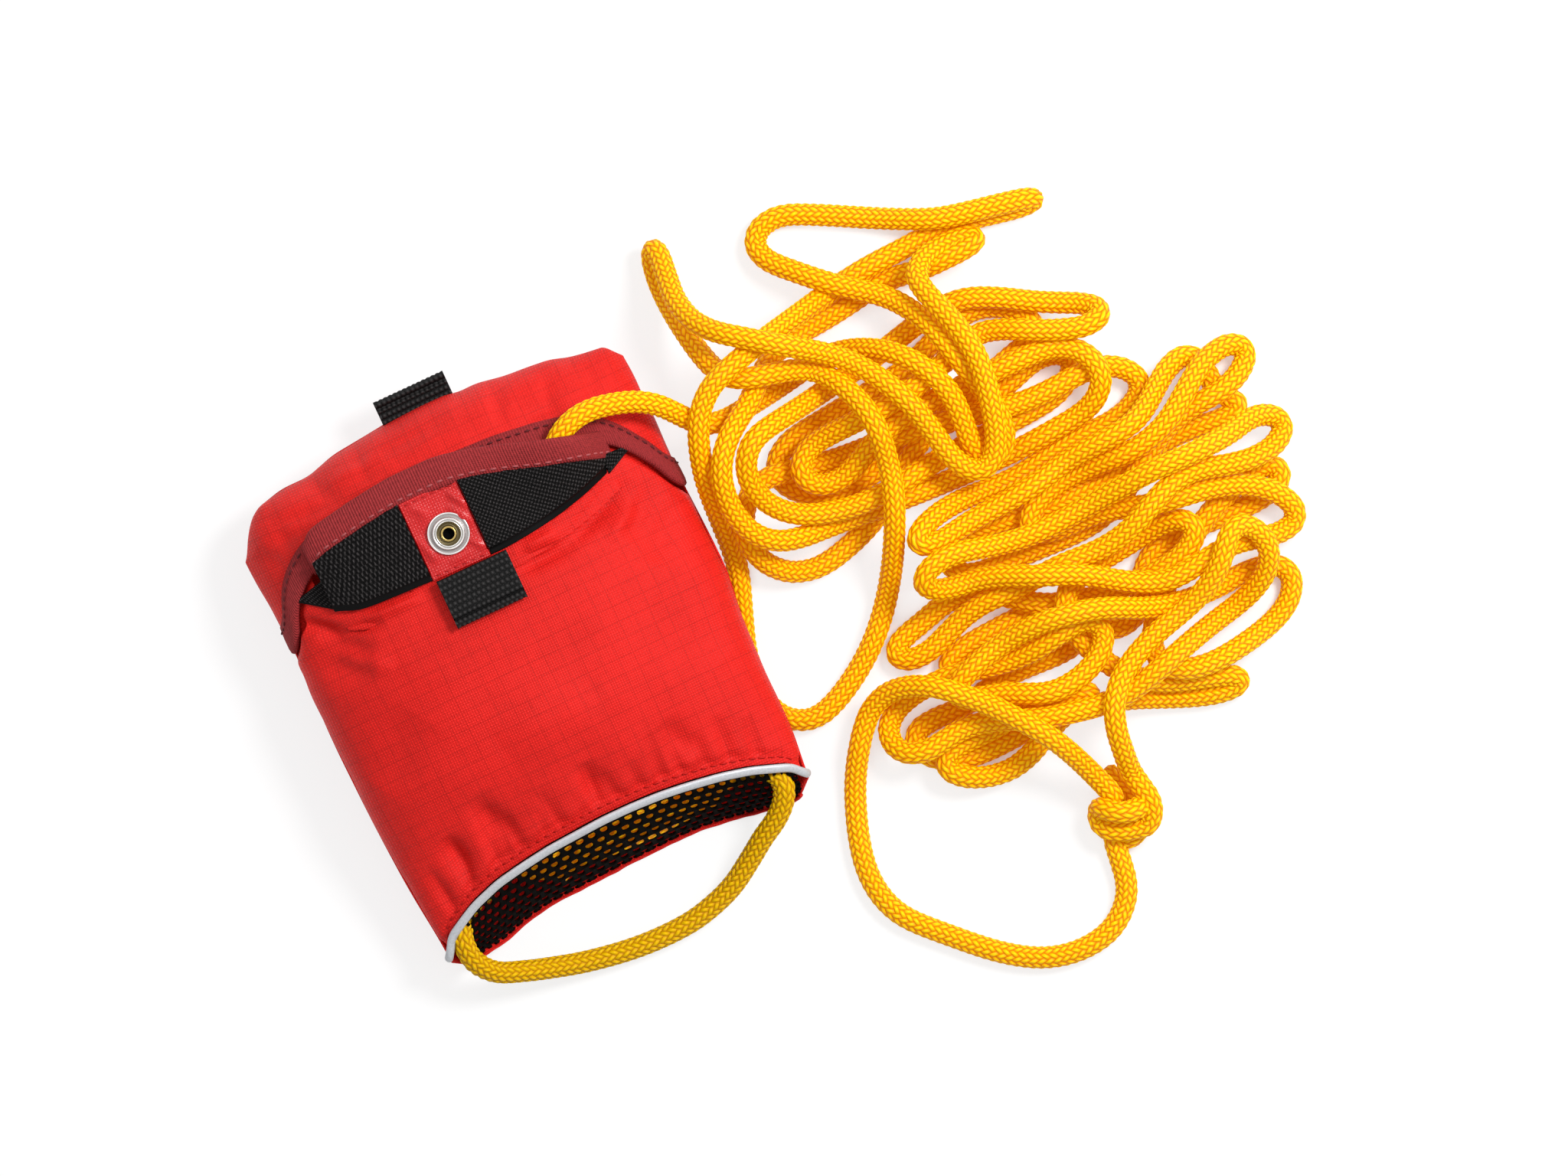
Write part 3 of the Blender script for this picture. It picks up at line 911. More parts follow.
def metal(name, colour, roughness):
    """Plated metal: bright edges, with fine scuffs that soften the shine."""
    return surface(name, {"Metallic": 1.0, "Base Color": opaque(colour)}, [
        ("u scuff", "MULTIPLY", ("u", 3.0)), ("v scuff", "MULTIPLY", ("v", 0.6)),
        ("scuff place", "CombineXYZ", ("u scuff", "v scuff")),
        ("scuff", "TexNoise", {"Vector": "scuff place", "Scale": 1.0, "Detail": 3.0}),
        ("rough", "MULTIPLY_ADD", ("scuff", 0.25, roughness)),
    ], {"Roughness": "rough"})


def rope_paints(sizes, colours):
    """Paint of the floating rope, which lets through a little light."""
    return [bpy.data.materials.get("polypropylene_rope") or braided_rope(
        "polypropylene_rope", colours.rope, colours.rope_shade, colours.rope_bright, sizes.braid_lead * METRE,
        through=0.25)]


def nylon_paint(colours):
    """Paint of the bag's cloth: real threads, 0.3 mm apart, are too fine to show, so these are coarser."""
    return bpy.data.materials.get("ripstop_nylon") or woven(
        "ripstop_nylon", colours.nylon, thread=0.85, square=5.4, dark=0.55, Roughness=0.55,
        Specular_IOR_Level=0.15)


def binding_paints(ribbon, colour, thread, thread_colour):
    """Paints of a binding and of the smooth thread that sews it on."""
    return [grosgrain(ribbon, colour),
            plain(thread, thread_colour, grain=0.4, bump=0.1, Roughness=0.6, Specular_IOR_Level=0.2)]


# Settings


def size(name, text, default):
    return bpy.props.FloatProperty(name=name, description=text, default=default, min=0, subtype="DISTANCE",
                                   unit="LENGTH")


def colour(name, text, shade):
    return bpy.props.FloatVectorProperty(name=name, description=text, default=to_linear(shade), min=0, max=1,
                                         subtype="COLOR", size=3)


class ThrowBagSizes(bpy.types.PropertyGroup):
    bag_width: size("Bag width", "Width of the packed bag", 0.139)
    bag_height: size("Bag height", "Height of the packed bag at its middle", 0.052)
    cloth: size("Cloth", "Thickness of the nylon with its coating", 0.0007)
    lip_binding: size("Lip binding", "Width of the grosgrain seen on the lip", 0.0098)
    hood_binding: size("Hood binding", "Width of the grosgrain seen on the hood", 0.0088)
    tape: size("Tape", "Thickness of the hook tape with its pile", 0.0016)
    snap: size("Snap", "Diameter of the snap's flange", 0.014)
    webbing_width: size("Webbing width", "Width of the pull tabs", 0.025)
    webbing: size("Webbing", "Thickness of the folded webbing", 0.0026)
    front_tab: size("Front tab", "Length of the front tab from its seam", 0.017)
    back_tab: size("Back tab", "Length of the back tab past the top edge", 0.0065)
    rope_diameter: size("Rope diameter", "Diameter the floating rope is sold by", 0.008)
    rope_cover: size("Rope cover", "Diameter of the rope's braided cover as it lies", 0.0075)
    strand_gap: size("Strand gap", "Gap kept between strands that lie against each other", 0.0002)
    braid_lead: size("Braid lead", "Length in which a strand goes once round the rope", 0.0312)


class ThrowBagColours(bpy.types.PropertyGroup):
    nylon: colour("Nylon", "Red of the nylon cloth", "#E2201A")
    patch: colour("Patch", "Red of the coated patch behind the snap", "#C81416")
    binding: colour("Binding", "Maroon of the grosgrain bindings", "#8E2A2C")
    thread: colour("Thread", "Dark thread of the stitches on the hood's binding", "#541418")
    lip_thread: colour("Lip thread", "Paler thread of the stitches on the lip's binding", "#9C4A4C")
    tape: colour("Tape", "Black of the hook tape", "#0A0909")
    webbing: colour("Webbing", "Black of the pull tabs", "#100F0F")
    mesh: colour("Mesh", "Black of the base mesh", "#0A0807")
    piping: colour("Piping", "Grey of the reflective piping", "#B4B6BA")
    rope: colour("Rope", "Gold of the floating rope", "#D6A000")
    rope_shade: colour("Rope crevices", "Orange between the stitches of the rope", "#D46C00")
    rope_bright: colour("Rope crests", "Bright yellow on the stitches of the rope", "#F0CC06")
    handle: colour("Handle rope", "Mustard of the handle's rope", "#CE9A00")
    handle_shade: colour("Handle crevices", "Ochre between the stitches of the handle's rope", "#B87A00")
    handle_bright: colour("Handle crests", "Yellow on the stitches of the handle's rope", "#E0B400")
    nickel: colour("Nickel", "Brushed nickel of the snap's flange", "#8E8886")
    ring: colour("Nickel ring", "Polished nickel of the snap's ring", "#E4E2E0")
    dulled: colour("Dulled brass", "Olive of the dull brass inside the snap", "#5E543C")
    socket: colour("Socket", "Near black of the hole through the snap", "#0A0908")
    brass: colour("Brass", "Brass of the snap's eyelet", "#B39A5E")
    foam: colour("Foam", "Off-white of the foam float", "#D8D8CC")
    floor: colour("Floor", "Pale floor", "#F4F4F4")


def chosen(context):
    return context.scene.throw_bag_sizes, context.scene.throw_bag_colours


# Stage and pieces

# Rays for which the floor and the studio are plain white
BACKGROUND_RAYS = [("camera", "LightPath", {}, {"out": "Is Camera Ray"}),
                   ("gloss", "LightPath", {}, {"out": "Is Glossy Ray"}),
                   ("glass", "LightPath", {}, {"out": "Is Transmission Ray"}),
                   ("mirrored", "MAXIMUM", ("gloss", "glass")), ("seen", "MAXIMUM", ("camera", "mirrored"))]
# Half the width of the floor, the camera's height and view and the mean height of what it sees, in metres
FLOOR_HALF = 3.0
CAMERA_HEIGHT, VIEW_WIDTH, MEAN_HEIGHT = 8.0, 0.512, 0.022
# Lights: name, then places to the photo's right and top and upwards, size and power
LIGHTS = [("key_light", 0.6, 0.45, 1.1, 0.4, 16), ("fill_light", -0.6, 0.5, 1.2, 0.9, 3)]


class THROWBAG_OT_stage(bpy.types.Operator):
    """Sets the floor, the soft lights and the camera above the bag"""

    bl_idname = "throwbag.stage"
    bl_label = "Stage and camera"

    def execute(self, context):
        scene, colours = context.scene, chosen(context)[1]
        floor = bpy.data.objects.new("floor", bpy.data.meshes.new("floor"))
        corners = [(x * FLOOR_HALF, y * FLOOR_HALF, 0) for x, y in ((-1, -1), (1, -1), (1, 1), (-1, 1))]
        floor.data.from_pydata(corners, [], [(0, 1, 2, 3)])
        scene.collection.objects.link(floor)
        paint = bpy.data.materials.new("floor_white")
        paint.use_nodes = True
        tree, bsdf = paint.node_tree, paint.node_tree.nodes["Principled BSDF"]
        values = {"floor": bsdf.outputs[0]}
        set_inputs(tree, values, bsdf, {"Base Color": opaque(colours.floor), "Roughness": 0.9})
        add_nodes(tree, values, *BACKGROUND_RAYS,
                  ("open", "AmbientOcclusion", {"Distance": 0.015}, {"out": "AO", "samples": 8}),
                  ("lit", "MapRange", {"Value": "open", "From Min": 0.15, "From Max": 0.5, "To Min": 0.2,
                                       "To Max": 0.78}),
                  ("share", "MULTIPLY", ("seen", "lit")),
                  ("glow", "Emission", {"Color": WHITE, "Strength": 1.0}),
                  ("both", "MixShader", {0: "share", 1: "floor", 2: "glow"}))
        set_inputs(tree, values, tree.nodes["Material Output"], {"Surface": "both"})
        floor.data.materials.append(paint)

        world = bpy.data.worlds.new("studio")
        scene.world = world
        world.use_nodes = True
        tree, values = world.node_tree, {}
        bright_side = (*(PHOTO_RIGHT * 0.6 + PHOTO_UP * 0.5), 0.6)
        add_nodes(tree, values, *BACKGROUND_RAYS, ("way", "TexCoord", {}),
                  ("side", "VectorMath", {0: "way", 1: bright_side},
                   {"operation": "DOT_PRODUCT", "out": "Value"}),
                  ("dim", "MapRange", {"Value": "side", "From Min": -0.6, "From Max": 0.9, "To Min": 0.3,
                                       "To Max": 0.75}),
                  ("strength", "MAXIMUM", ("dim", "seen")))
        set_inputs(tree, values, tree.nodes["Background"], {"Color": WHITE, "Strength": "strength"})

        for name, aside, ahead, high, wide, power in LIGHTS:
            lamp = bpy.data.lights.new(name, "AREA")
            lamp.shape, lamp.size, lamp.energy = "DISK", wide, power
            light = bpy.data.objects.new(name, lamp)
            light.location = (*(PHOTO_CENTRE + PHOTO_RIGHT * aside + PHOTO_UP * ahead), high)
            light.rotation_mode = "QUATERNION"
            light.rotation_quaternion = (Vector((*PHOTO_CENTRE, 0)) - light.location).to_track_quat("-Z", "Y")
            scene.collection.objects.link(light)

        lens = bpy.data.cameras.new("photo_camera")
        lens.sensor_width = 36
        lens.lens = lens.sensor_width * (CAMERA_HEIGHT - MEAN_HEIGHT) / VIEW_WIDTH
        lens.clip_end = 30
        camera = bpy.data.objects.new("photo_camera", lens)
        camera.location = (*PHOTO_CENTRE, CAMERA_HEIGHT)
        camera.rotation_euler = (0, 0, -PHOTO_TURN)
        scene.collection.objects.link(camera)
        scene.camera = camera
        scene.view_settings.view_transform = "Standard"
        return {"FINISHED"}


class THROWBAG_OT_spilled_rope(bpy.types.Operator):
    """Lays the floating rope from the mouth to its knotted end loop"""

    bl_idname = "throwbag.spilled_rope"
    bl_label = "Spilled rope"

    def execute(self, context):
        sizes, colours = chosen(context)
        paints = rope_paints(sizes, colours)
        main, loop = (self.eased(line) for line in laid_rope(sizes))
        line, rings, places = rope_rings(spline(np.concatenate([main, self.knot_points(KNOT_TURNS)])), sizes)
        split = int(np.searchsorted(places[:, 0, 0], line_length(spline(main))))
        shape = Shape()
        shape.skin_tube(rings[split - 1:], places[split - 1:])
        rope_strand(shape, spline(self.knot_points(KNOT_UNDER)), sizes)
        knot = shape.piece("end_loop_knot", paints)
        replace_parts(knot, "end_knot")
        shape = Shape()
        shape.skin_tube(rings[:split], places[:split])
        rope = shape.piece("floating_rope", paints)
        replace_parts(rope, "rope_lead", "rope_heap_upper", "rope_under_bag", "rope_heap")
        shape = Shape()
        line = np.concatenate([self.knot_points(LOOP_START), loop, self.knot_points(LOOP_STOP)])
        line = rope_strand(shape, spline(line), sizes)
        rope = shape.piece("end_loop_rope", paints)
        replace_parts(rope, "end_loop")
        return {"FINISHED"}

    def eased(self, line):
        """The line evened out a little, so no strand has a kink."""
        eased = line.copy()
        share = np.array((0.2, 0.2, 0.25))
        for _ in range(2):
            eased[1:-1] = eased[1:-1] * (1 - 2 * share) + (eased[:-2] + eased[2:]) * share
        return eased

    def knot_points(self, points):
        """Points given to the right, up and above the knot's middle, as the photo shows it."""
        right, up, high = np.array(points, float).T[..., None]
        return np.column_stack([np.array(KNOT_PLACE) + right * PHOTO_RIGHT + up * PHOTO_UP, high])


class THROWBAG_OT_handle(bpy.types.Operator):
    """Makes the rope handle through the base corners with its stopper knots"""

    bl_idname = "throwbag.handle"
    bl_label = "Rope handle"

    def execute(self, context):
        sizes, colours = chosen(context)
        paints = [braided_rope("handle_rope", colours.handle, colours.handle_shade, colours.handle_bright,
                               sizes.braid_lead * METRE, through=0)]
        shape = Shape()
        path = rope_strand(shape, spline(HANDLE_PATH), sizes)
        loop = shape.piece("handle_rope_loop", paints, "handle")
        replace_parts(loop, "handle_loop")
        knots = Shape()
        x, y, z = STOPPER_PLACE
        turn = np.linspace(0, STOPPER_TURNS * 2 * math.pi, 20)
        for side in (-1, 1):
            ring = points_of(side * x + STOPPER_RADIUS * np.cos(turn), y + turn * STOPPER_RISE,
                             z + STOPPER_RADIUS * np.sin(turn))
            rope_strand(knots, ring, sizes)
        knots = knots.piece("handle_stoppers", paints, "handle")
        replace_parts(knots, "handle_knot_left", "handle_knot_right")
        return {"FINISHED"}


class THROWBAG_OT_bag_cloth(bpy.types.Operator):
    """Makes the front panel, and the back panel that comes over the top edge as the hood"""

    bl_idname = "throwbag.bag_cloth"
    bl_label = "Bag cloth"

    def execute(self, context):
        sizes, colours = chosen(context)
        paints, cloth = [nylon_paint(colours)], sizes.cloth * METRE
        shape = Shape()
        shape.sheet(*self.front_panel(sizes, cloth))
        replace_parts(shape.piece("front_panel_cloth", paints), "front_panel", "tuck_left", "tuck_right")
        shape = Shape()
        shape.sheet(*self.back_and_hood(sizes, cloth))
        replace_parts(shape.piece("back_and_hood_cloth", paints), "back_panel", "hood")
        return {"FINISHED"}

    def front_panel(self, sizes, cloth):
        """Front panel from its hem in the base seam to the lip's fold, its ends tucked beneath the hood."""
        s, v = np.meshgrid(np.linspace(-1, 1, CLOTH_COLUMNS), np.linspace(0, 1, FRONT_ROWS))
        x = across(s, sizes)
        rim, low = edge_at(s, HOOD_RIM, sizes), edge_at(s, FRONT_EDGE, sizes)
        beside_lip = (np.abs(x) - LIP_HALF).clip(0)
        top = np.minimum(rim + TUCK_LENGTH, lip_fold(x) + 1 + 2 * beside_lip)
        y = between(low, top, v)
        away = y - low
        tucked = TUCK_DEPTH * smooth_step(y, rim - TUCK_LENGTH, rim + 1)
        hem = HEM_DEPTH * (1 - smooth_step(away, 3.6, 7))
        grid = upper_skin(s, y, FRONT_INSET + tucked + hem, sizes)
        lumps = rough(grid, size=40, seed=2.0, depth=3) * smooth_step(away, 4, 18)
        puckers = 0
        for left, lean, long, depth in PUCKERS:
            foot = table(left, FRONT_EDGE, LIP_EASE) + 4
            start, stop = (left, foot - 0.7 * long), (left + lean, foot + long)
            puckers = puckers + crease(grid, start, stop, 1.5 + 0.06 * long, depth)
        folds = FRONT_FOLD * sum(crease(grid, *fold) for fold in FRONT_FOLDS)
        calm = 1 - 0.9 * smooth_step(y, top - 4, top)
        raised = (lumps - folds - PUCKER * puckers * smooth_step(away, 3, 5.5)) * calm
        return grid + normals(grid) * raised[..., None], cloth, points_of(x, y)

    def back_and_hood(self, sizes, cloth):
        """Back panel from the base seam to the top edge, and over that edge to the hood's rim."""
        wide = np.linspace(-1, 1, CLOTH_COLUMNS)
        flat, bent = np.linspace(0, FLAT_PART, BACK_ROWS)[:-1], np.linspace(FLAT_PART, 1, ROUND_ROWS)
        s, t = np.meshgrid(wide, np.concatenate([flat, bent]))
        start, back = edge_at(s, TOP_EDGE, sizes) - TOP_ROUND, edge_at(s, BACK_EDGE, sizes)
        rounding = TOP_ROUND * np.sin((t - FLAT_PART) / ROUND_PART * math.pi / 2)
        y = np.where(t < FLAT_PART, t / FLAT_PART * (start - back) + back, start + rounding)
        under = lower_skin(s, y, 0, sizes)
        s, t = np.meshgrid(wide, np.linspace(1, 0, HOOD_ROWS)[1:])
        rim, edge = edge_at(s, HOOD_RIM, sizes), edge_at(s, TOP_EDGE, sizes)
        over = upper_skin(s, between(rim, edge, np.sin(t * math.pi / 2)), 0, sizes)
        grid = np.concatenate([under, over])
        grid[..., 2] = np.maximum(grid[..., 2], FLOOR_GAP)
        shown = np.concatenate([np.zeros(len(under)), np.ones(len(over))])[:, None]
        folds = HOOD_FOLD * sum(crease(grid, *fold) for fold in HOOD_FOLDS)
        wrinkles = (rough(grid, size=20, seed=4.0, depth=2) * 0.8 - folds) * shown
        from_rim = np.concatenate([np.zeros(under.shape[:2]), over[..., 1] - rim])
        waves = np.sin(grid[..., 0] * 2 * math.pi / RIPPLE_LENGTH + 3 * rough(grid, size=25, seed=9.0))
        ripples = RIPPLE_DEPTH * waves * np.exp(-from_rim / RIPPLE_FADE) * shown
        grid = grid - normals(grid) * (wrinkles + ripples)[..., None]
        grid[..., 2] = np.maximum(grid[..., 2], FLOOR_GAP)
        crown = max(along for _, along in TOP_EDGE)
        far = np.concatenate([under[..., 1], 2 * crown - over[..., 1]])
        return grid[:, ::-1], cloth, points_of(grid[..., 0], far)[:, ::-1]


class THROWBAG_OT_hood_binding(bpy.types.Operator):
    """Folds the grosgrain binding over the hood's rim and sews it on"""

    bl_idname = "throwbag.hood_binding"
    bl_label = "Hood binding"

    def execute(self, context):
        sizes, colours = chosen(context)
        s = np.linspace(-1, 1, EDGE_POINTS)
        rim = edge_at(s, HOOD_RIM, sizes)
        line = upper_skin(s, rim, 0, sizes)
        inward = unit(upper_skin(s, rim + 3, 0, sizes) - line)
        up = unit(np.cross(np.gradient(line, axis=0), inward))
        wave = rough(line, size=9, seed=3.0) * 0.35
        shape = bound_edge(line, inward, up, HOOD_SECTION, sizes.hood_binding * METRE, wave, sewn_in=2,
                           length=2.3, gap=0.9, thick=0.38)
        paints = binding_paints("grosgrain_hood", colours.binding, "binding_thread", colours.thread)
        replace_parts(shape.piece("hood_binding_ribbon", paints), "hood_binding")
        return {"FINISHED"}


class THROWBAG_OT_mouth_lip(bpy.types.Operator):
    """Makes the turned-up lip: its cloth, bound rim, hook tapes and coated patch"""

    bl_idname = "throwbag.mouth_lip"
    bl_label = "Mouth lip"

    def execute(self, context):
        sizes, colours = chosen(context)
        self.cloth(sizes, colours)
        self.binding(sizes, colours)
        self.tapes(sizes, colours)
        self.tape_ends(sizes, colours)
        self.patch(sizes, colours)
        return {"FINISHED"}

    def cloth(self, sizes, colours):
        """Cloth of the lip, which goes on below its fold as part of the front panel."""
        first, last = LIP_ENDS
        x, v = np.meshgrid(np.linspace(first + 0.6, last - 0.6, 101), np.linspace(0, 1, 41))
        fold, rim = lip_fold(x), lip_rim(x)
        y = fold - LIP_ROOT + (rim - 2 - fold + LIP_ROOT) * v
        below = upper_skin(turn_at(x, y, sizes), y, 1.1, sizes)
        grid = np.where((y < fold)[..., None], below, lip_point(x, y, LIP_WALL - 0.3, sizes))
        shape = Shape()
        shape.sheet(grid, sizes.cloth * METRE, points_of(x, y))
        lip = shape.piece("lip_cloth", [nylon_paint(colours)], None)
        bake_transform(lip)
        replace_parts(lip, "front_lip")

    def binding(self, sizes, colours):
        """Binding of the rim, with its left end turned down."""
        first, last = LIP_ENDS
        x = np.linspace(first, last, 221)
        rim = lip_rim(x)
        line = lip_point(x, rim, LIP_WALL / 2, sizes)
        inward = unit(lip_point(x, rim - 6, LIP_WALL / 2, sizes) - line)
        turned = (first + 5 - x).clip(0)
        line[:, 1] -= turned**2 * 0.1
        line[:, 2] -= turned**2 * 0.08
        up = unit(np.cross(inward, np.gradient(line, axis=0)))
        wave = rough(line, size=12, seed=6.0) * 0.4
        shape = bound_edge(line, inward, up, LIP_SECTION, sizes.lip_binding * METRE, wave, sewn_in=2.6,
                           length=2.6, gap=1.0, thick=0.4)
        paints = binding_paints("grosgrain_lip", colours.binding, "lip_thread", colours.lip_thread)
        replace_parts(shape.piece("lip_binding_ribbon", paints, "lip"), "lip_binding")

    def tapes(self, sizes, colours):
        """Tapes to the left and right of the patch, their pile standing above a plain selvage."""
        first, last = LIP_ENDS
        for name, left, right, streak, pitch, node in (
                ("bristle_tape", first + 0.3, PATCH[0] - 0.3, 2.2, 1.5, "hook_strip_left"),
                ("hook_tape", PATCH[1] + 0.3, last - 0.4, 1.0, 1.6, "hook_strip_right")):
            x, y, low = lip_strip(np.linspace(left, right, 90), 64, 0.4, sizes)
            pile = smooth_step(y - low, SELVAGE - 0.5, SELVAGE + 0.3)
            fuzz = rough(points_of(x, y), **FUZZ) * 0.22
            swell = rough(points_of(x, y), size=14, seed=8.0) * 0.5
            backing = LIP_WALL + TAPE_BACKING
            raised = backing + (sizes.tape * METRE - TAPE_BACKING) * pile + fuzz * pile + swell
            shape = Shape()
            shape.sheet(lip_point(x, y, raised, sizes), 0.9, points_of(x, y - low))
            paint = hook_tape(name, colours.tape, streak, pitch, SELVAGE)
            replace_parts(shape.piece(name, [paint], "lip"), node)

    def tape_ends(self, sizes, colours):
        """Ends of the tapes that are sewn down beside the lip."""
        shape = Shape()
        t, v = np.meshgrid(np.linspace(0, 1, 20), np.linspace(0, 1, 14))
        for one, other in TAPE_ENDS:
            x, low, high = (between(start, stop, t) for start, stop in zip(one, other))
            y = between(low, high, v)
            grid = upper_skin(turn_at(x, y, sizes), y, -0.5, sizes)
            grid[..., 2] += rough(points_of(x, y), **FUZZ) * 0.15
            shape.sheet(grid, 1.2, points_of(x, y - low))
        paint = hook_tape("sewn_tape", colours.tape, streak=1.0, pitch=1.3, selvage=0.6)
        shape.piece("sewn_tape_ends", [paint])

    def patch(self, sizes, colours):
        """Patch behind the snap, sewn on at its lower and upper edge, its weave coarser than a real one."""
        x, y, _ = lip_strip(np.linspace(*PATCH, 60), 70, 0.2, sizes)
        flat = points_of(x, y)
        wrinkles = sum(crease(flat, *fold) for fold in PATCH_FOLDS)
        raised = LIP_WALL + 0.5 + rough(flat, size=7, seed=2.0, depth=2) * 0.3 + wrinkles
        grid = lip_point(x, y, raised, sizes)
        shape = Shape()
        shape.sheet(grid, 0.5, flat)
        for line, up in zip(grid[[3, -4], 2:-2], normals(grid)[[3, -4], 2:-2]):
            stitches(shape, line + up * 0.1, up, length=2.2, gap=0.9, thick=0.24)
        paint = woven("coated_nylon", colours.patch, thread=0.9, square=30, dark=0.7, Roughness=0.35,
                      Specular_IOR_Level=0.25, Coat_Weight=0.2, Coat_Roughness=0.15)
        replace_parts(shape.piece("snap_patch_cloth", [paint], "lip"), "snap_patch")


class THROWBAG_OT_snap(bpy.types.Operator):
    """Turns the snap: its nickel flange and brass eyelet"""

    bl_idname = "throwbag.snap"
    bl_label = "Snap"

    def execute(self, context):
        sizes, colours = chosen(context)
        share = sizes.snap * METRE / 2 / SNAP_RADIUS
        x, y = SNAP_PLACE
        foot = lip_point(x, y, SNAP_LIFT, sizes)
        along = unit(lip_point(x, y + 6, 0, sizes) - lip_point(x, y - 6, 0, sizes))
        right = np.array((1.0, 0, 0))
        up = np.cross(right, along)
        turn = np.arange(SNAP_SIDES) / SNAP_SIDES * 2 * math.pi
        out = np.cos(turn)[:, None] * right + np.sin(turn)[:, None] * along
        brushed, polished = metal("brushed_nickel", colours.nickel, 0.4), metal("nickel", colours.ring, 0.08)
        brass, dulled = metal("brass", colours.brass, 0.2), metal("dulled_brass", colours.dulled, 0.35)
        socket = plain("socket_shade", colours.socket, grain=0.5, bump=0.1, Roughness=0.9,
                       Specular_IOR_Level=0.02)
        for name, profile, paints, node in (
                ("snap_flange_nickel", SNAP_FLANGE, [brushed, polished], "snap_flange"),
                ("snap_eyelet_brass", SNAP_EYELET, [brass, dulled, socket], "snap_post")):
            profile = np.array(profile)
            slots, profile = profile[:, 2].astype(int), profile[:, :2] * (share, 1)
            rings = foot + profile[:, None, :1] * out + profile[:, None, 1:] * up
            number = numbers(*rings.shape[:2])
            faces = cells(closed(np.concatenate([number, number[:1]])))
            spots = points_of(profile[:, :1] * turn, profile[:, :1]).reshape(-1, 2)
            shape = Shape()
            shape.add(rings, faces, spots[faces], np.repeat(slots, SNAP_SIDES))
            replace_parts(shape.piece(name, paints, "lip"), node)
        return {"FINISHED"}


class THROWBAG_OT_base(bpy.types.Operator):
    """Makes the base: its open mesh, the reflective piping and the seam's stitches"""

    bl_idname = "throwbag.base"
    bl_label = "Mesh base"

    def execute(self, context):
        sizes, colours = chosen(context)
        paint = plain("knit_mesh", colours.mesh, grain=0.5, bump=0.25, Roughness=0.85,
                      Specular_IOR_Level=0.03)
        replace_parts(self.mesh(sizes).piece("base_mesh_knit", [paint]), "base_mesh")

        s = np.linspace(-PIPING_TURN, PIPING_TURN, EDGE_POINTS)
        edge = edge_at(s, FRONT_EDGE, sizes)
        line = upper_skin(s, edge - PIPING_BELOW, 0, sizes)
        up = unit(line - upper_skin(s, edge - PIPING_BELOW, 6, sizes))
        inward = unit(upper_skin(s, edge + 4, 0, sizes) - upper_skin(s, edge, 0, sizes))
        line += up * (rough(line, size=11, seed=5.0) * 0.3)[:, None]
        turn = np.linspace(0, 2 * math.pi, PIPING_SIDES + 1)[:-1]
        shape = Shape()
        band(shape, line, inward, up, points_of(PIPING_WIDE * np.cos(turn), PIPING_TALL * np.sin(turn)))
        paint = plain("reflective_piping", colours.piping, grain=0.7, bump=0.12, Roughness=0.42,
                      Metallic=0.15)
        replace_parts(shape.piece("base_piping_cord", [paint]), "base_piping")

        shape = Shape()
        sewn = upper_skin(s, edge + SEWN_ABOVE, SEWN_INSET, sizes)[12:-12]
        stitches(shape, sewn, up[12:-12], length=2.3, gap=1.0, thick=0.34)
        turn, sides = np.linspace(-HEM_TURN, HEM_TURN, 161), 8
        hem = lower_skin(turn, edge_at(turn, BACK_EDGE, sizes), 0.4, sizes)
        inward, lift = -0.2 + 0.2 * rough(hem, size=6, seed=2.0), 0.3 + 0.2 * rough(hem, size=5, seed=8.0)
        hem += points_of(0, inward, lift)
        rings = round_tube(hem, 0.5 + 0.2 * rough(hem, size=4, seed=1.0), sides)
        shape.skin_tube(rings, points_of(hem[:, :1], np.arange(sides + 1.0)))
        shape.piece("base_seam_thread", [nylon_paint(colours)])
        return {"FINISHED"}

    def mesh(self, sizes):
        """The open knit: cells in staggered rows, each with its hole."""
        shape, handle = Shape(), spline(HANDLE_PATH)
        turn = np.arctan2(CELL[:, 1], CELL[:, 0])
        for row, column in np.ndindex(MESH_ROWS, MESH_COLUMNS):
            middle = np.array((column + 0.5 + 0.5 * (row % 2), row + 0.5))
            wide = HOLE_WIDE + 0.04 * noise.noise((column * 1.7, row * 2.3, 4.0))
            hole = points_of(np.cos(turn) * wide, np.sin(turn) * HOLE_TALL)
            layers = []
            for lip, drop in ((CELL, 0), (CELL * 0.45 + hole * 0.55, -0.12), (hole * 1.04, 0.18),
                              (hole, KNIT)):
                share = (middle + lip) / (MESH_COLUMNS + 0.5, MESH_ROWS)
                turned = np.clip(2 * share[:, 0] - 1, -1, 1) * MESH_TURN
                layers.append(self.spot(turned, np.clip(share[:, 1], 0, 1), sizes) + (0, drop, 0))
            layers.append(layers[0] + (0, KNIT, 0))
            tall = np.ptp(layers[0][:, 2])
            near = np.linalg.norm(handle - layers[0].mean(0), axis=1).min()
            if tall >= LEAST_CELL and near >= HANDLE_ROOM:
                faces = cells(closed(numbers(len(layers), len(CELL))))
                points = np.concatenate(layers)
                shape.add(points, faces, points[:, [0, 2]][faces])
        return shape

    def spot(self, s, v, sizes):
        """Points of the mesh, from the back panel's edge up to the piping."""
        low = lower_skin(s, edge_at(s, BACK_EDGE, sizes), 0.2, sizes)
        high = upper_skin(s, edge_at(s, FRONT_EDGE, sizes), 0.2, sizes)
        bow = 1.5 * np.sin(math.pi * v)
        return between(low, high, v[..., None]) + points_of(0, 0.4 - bow, bow)


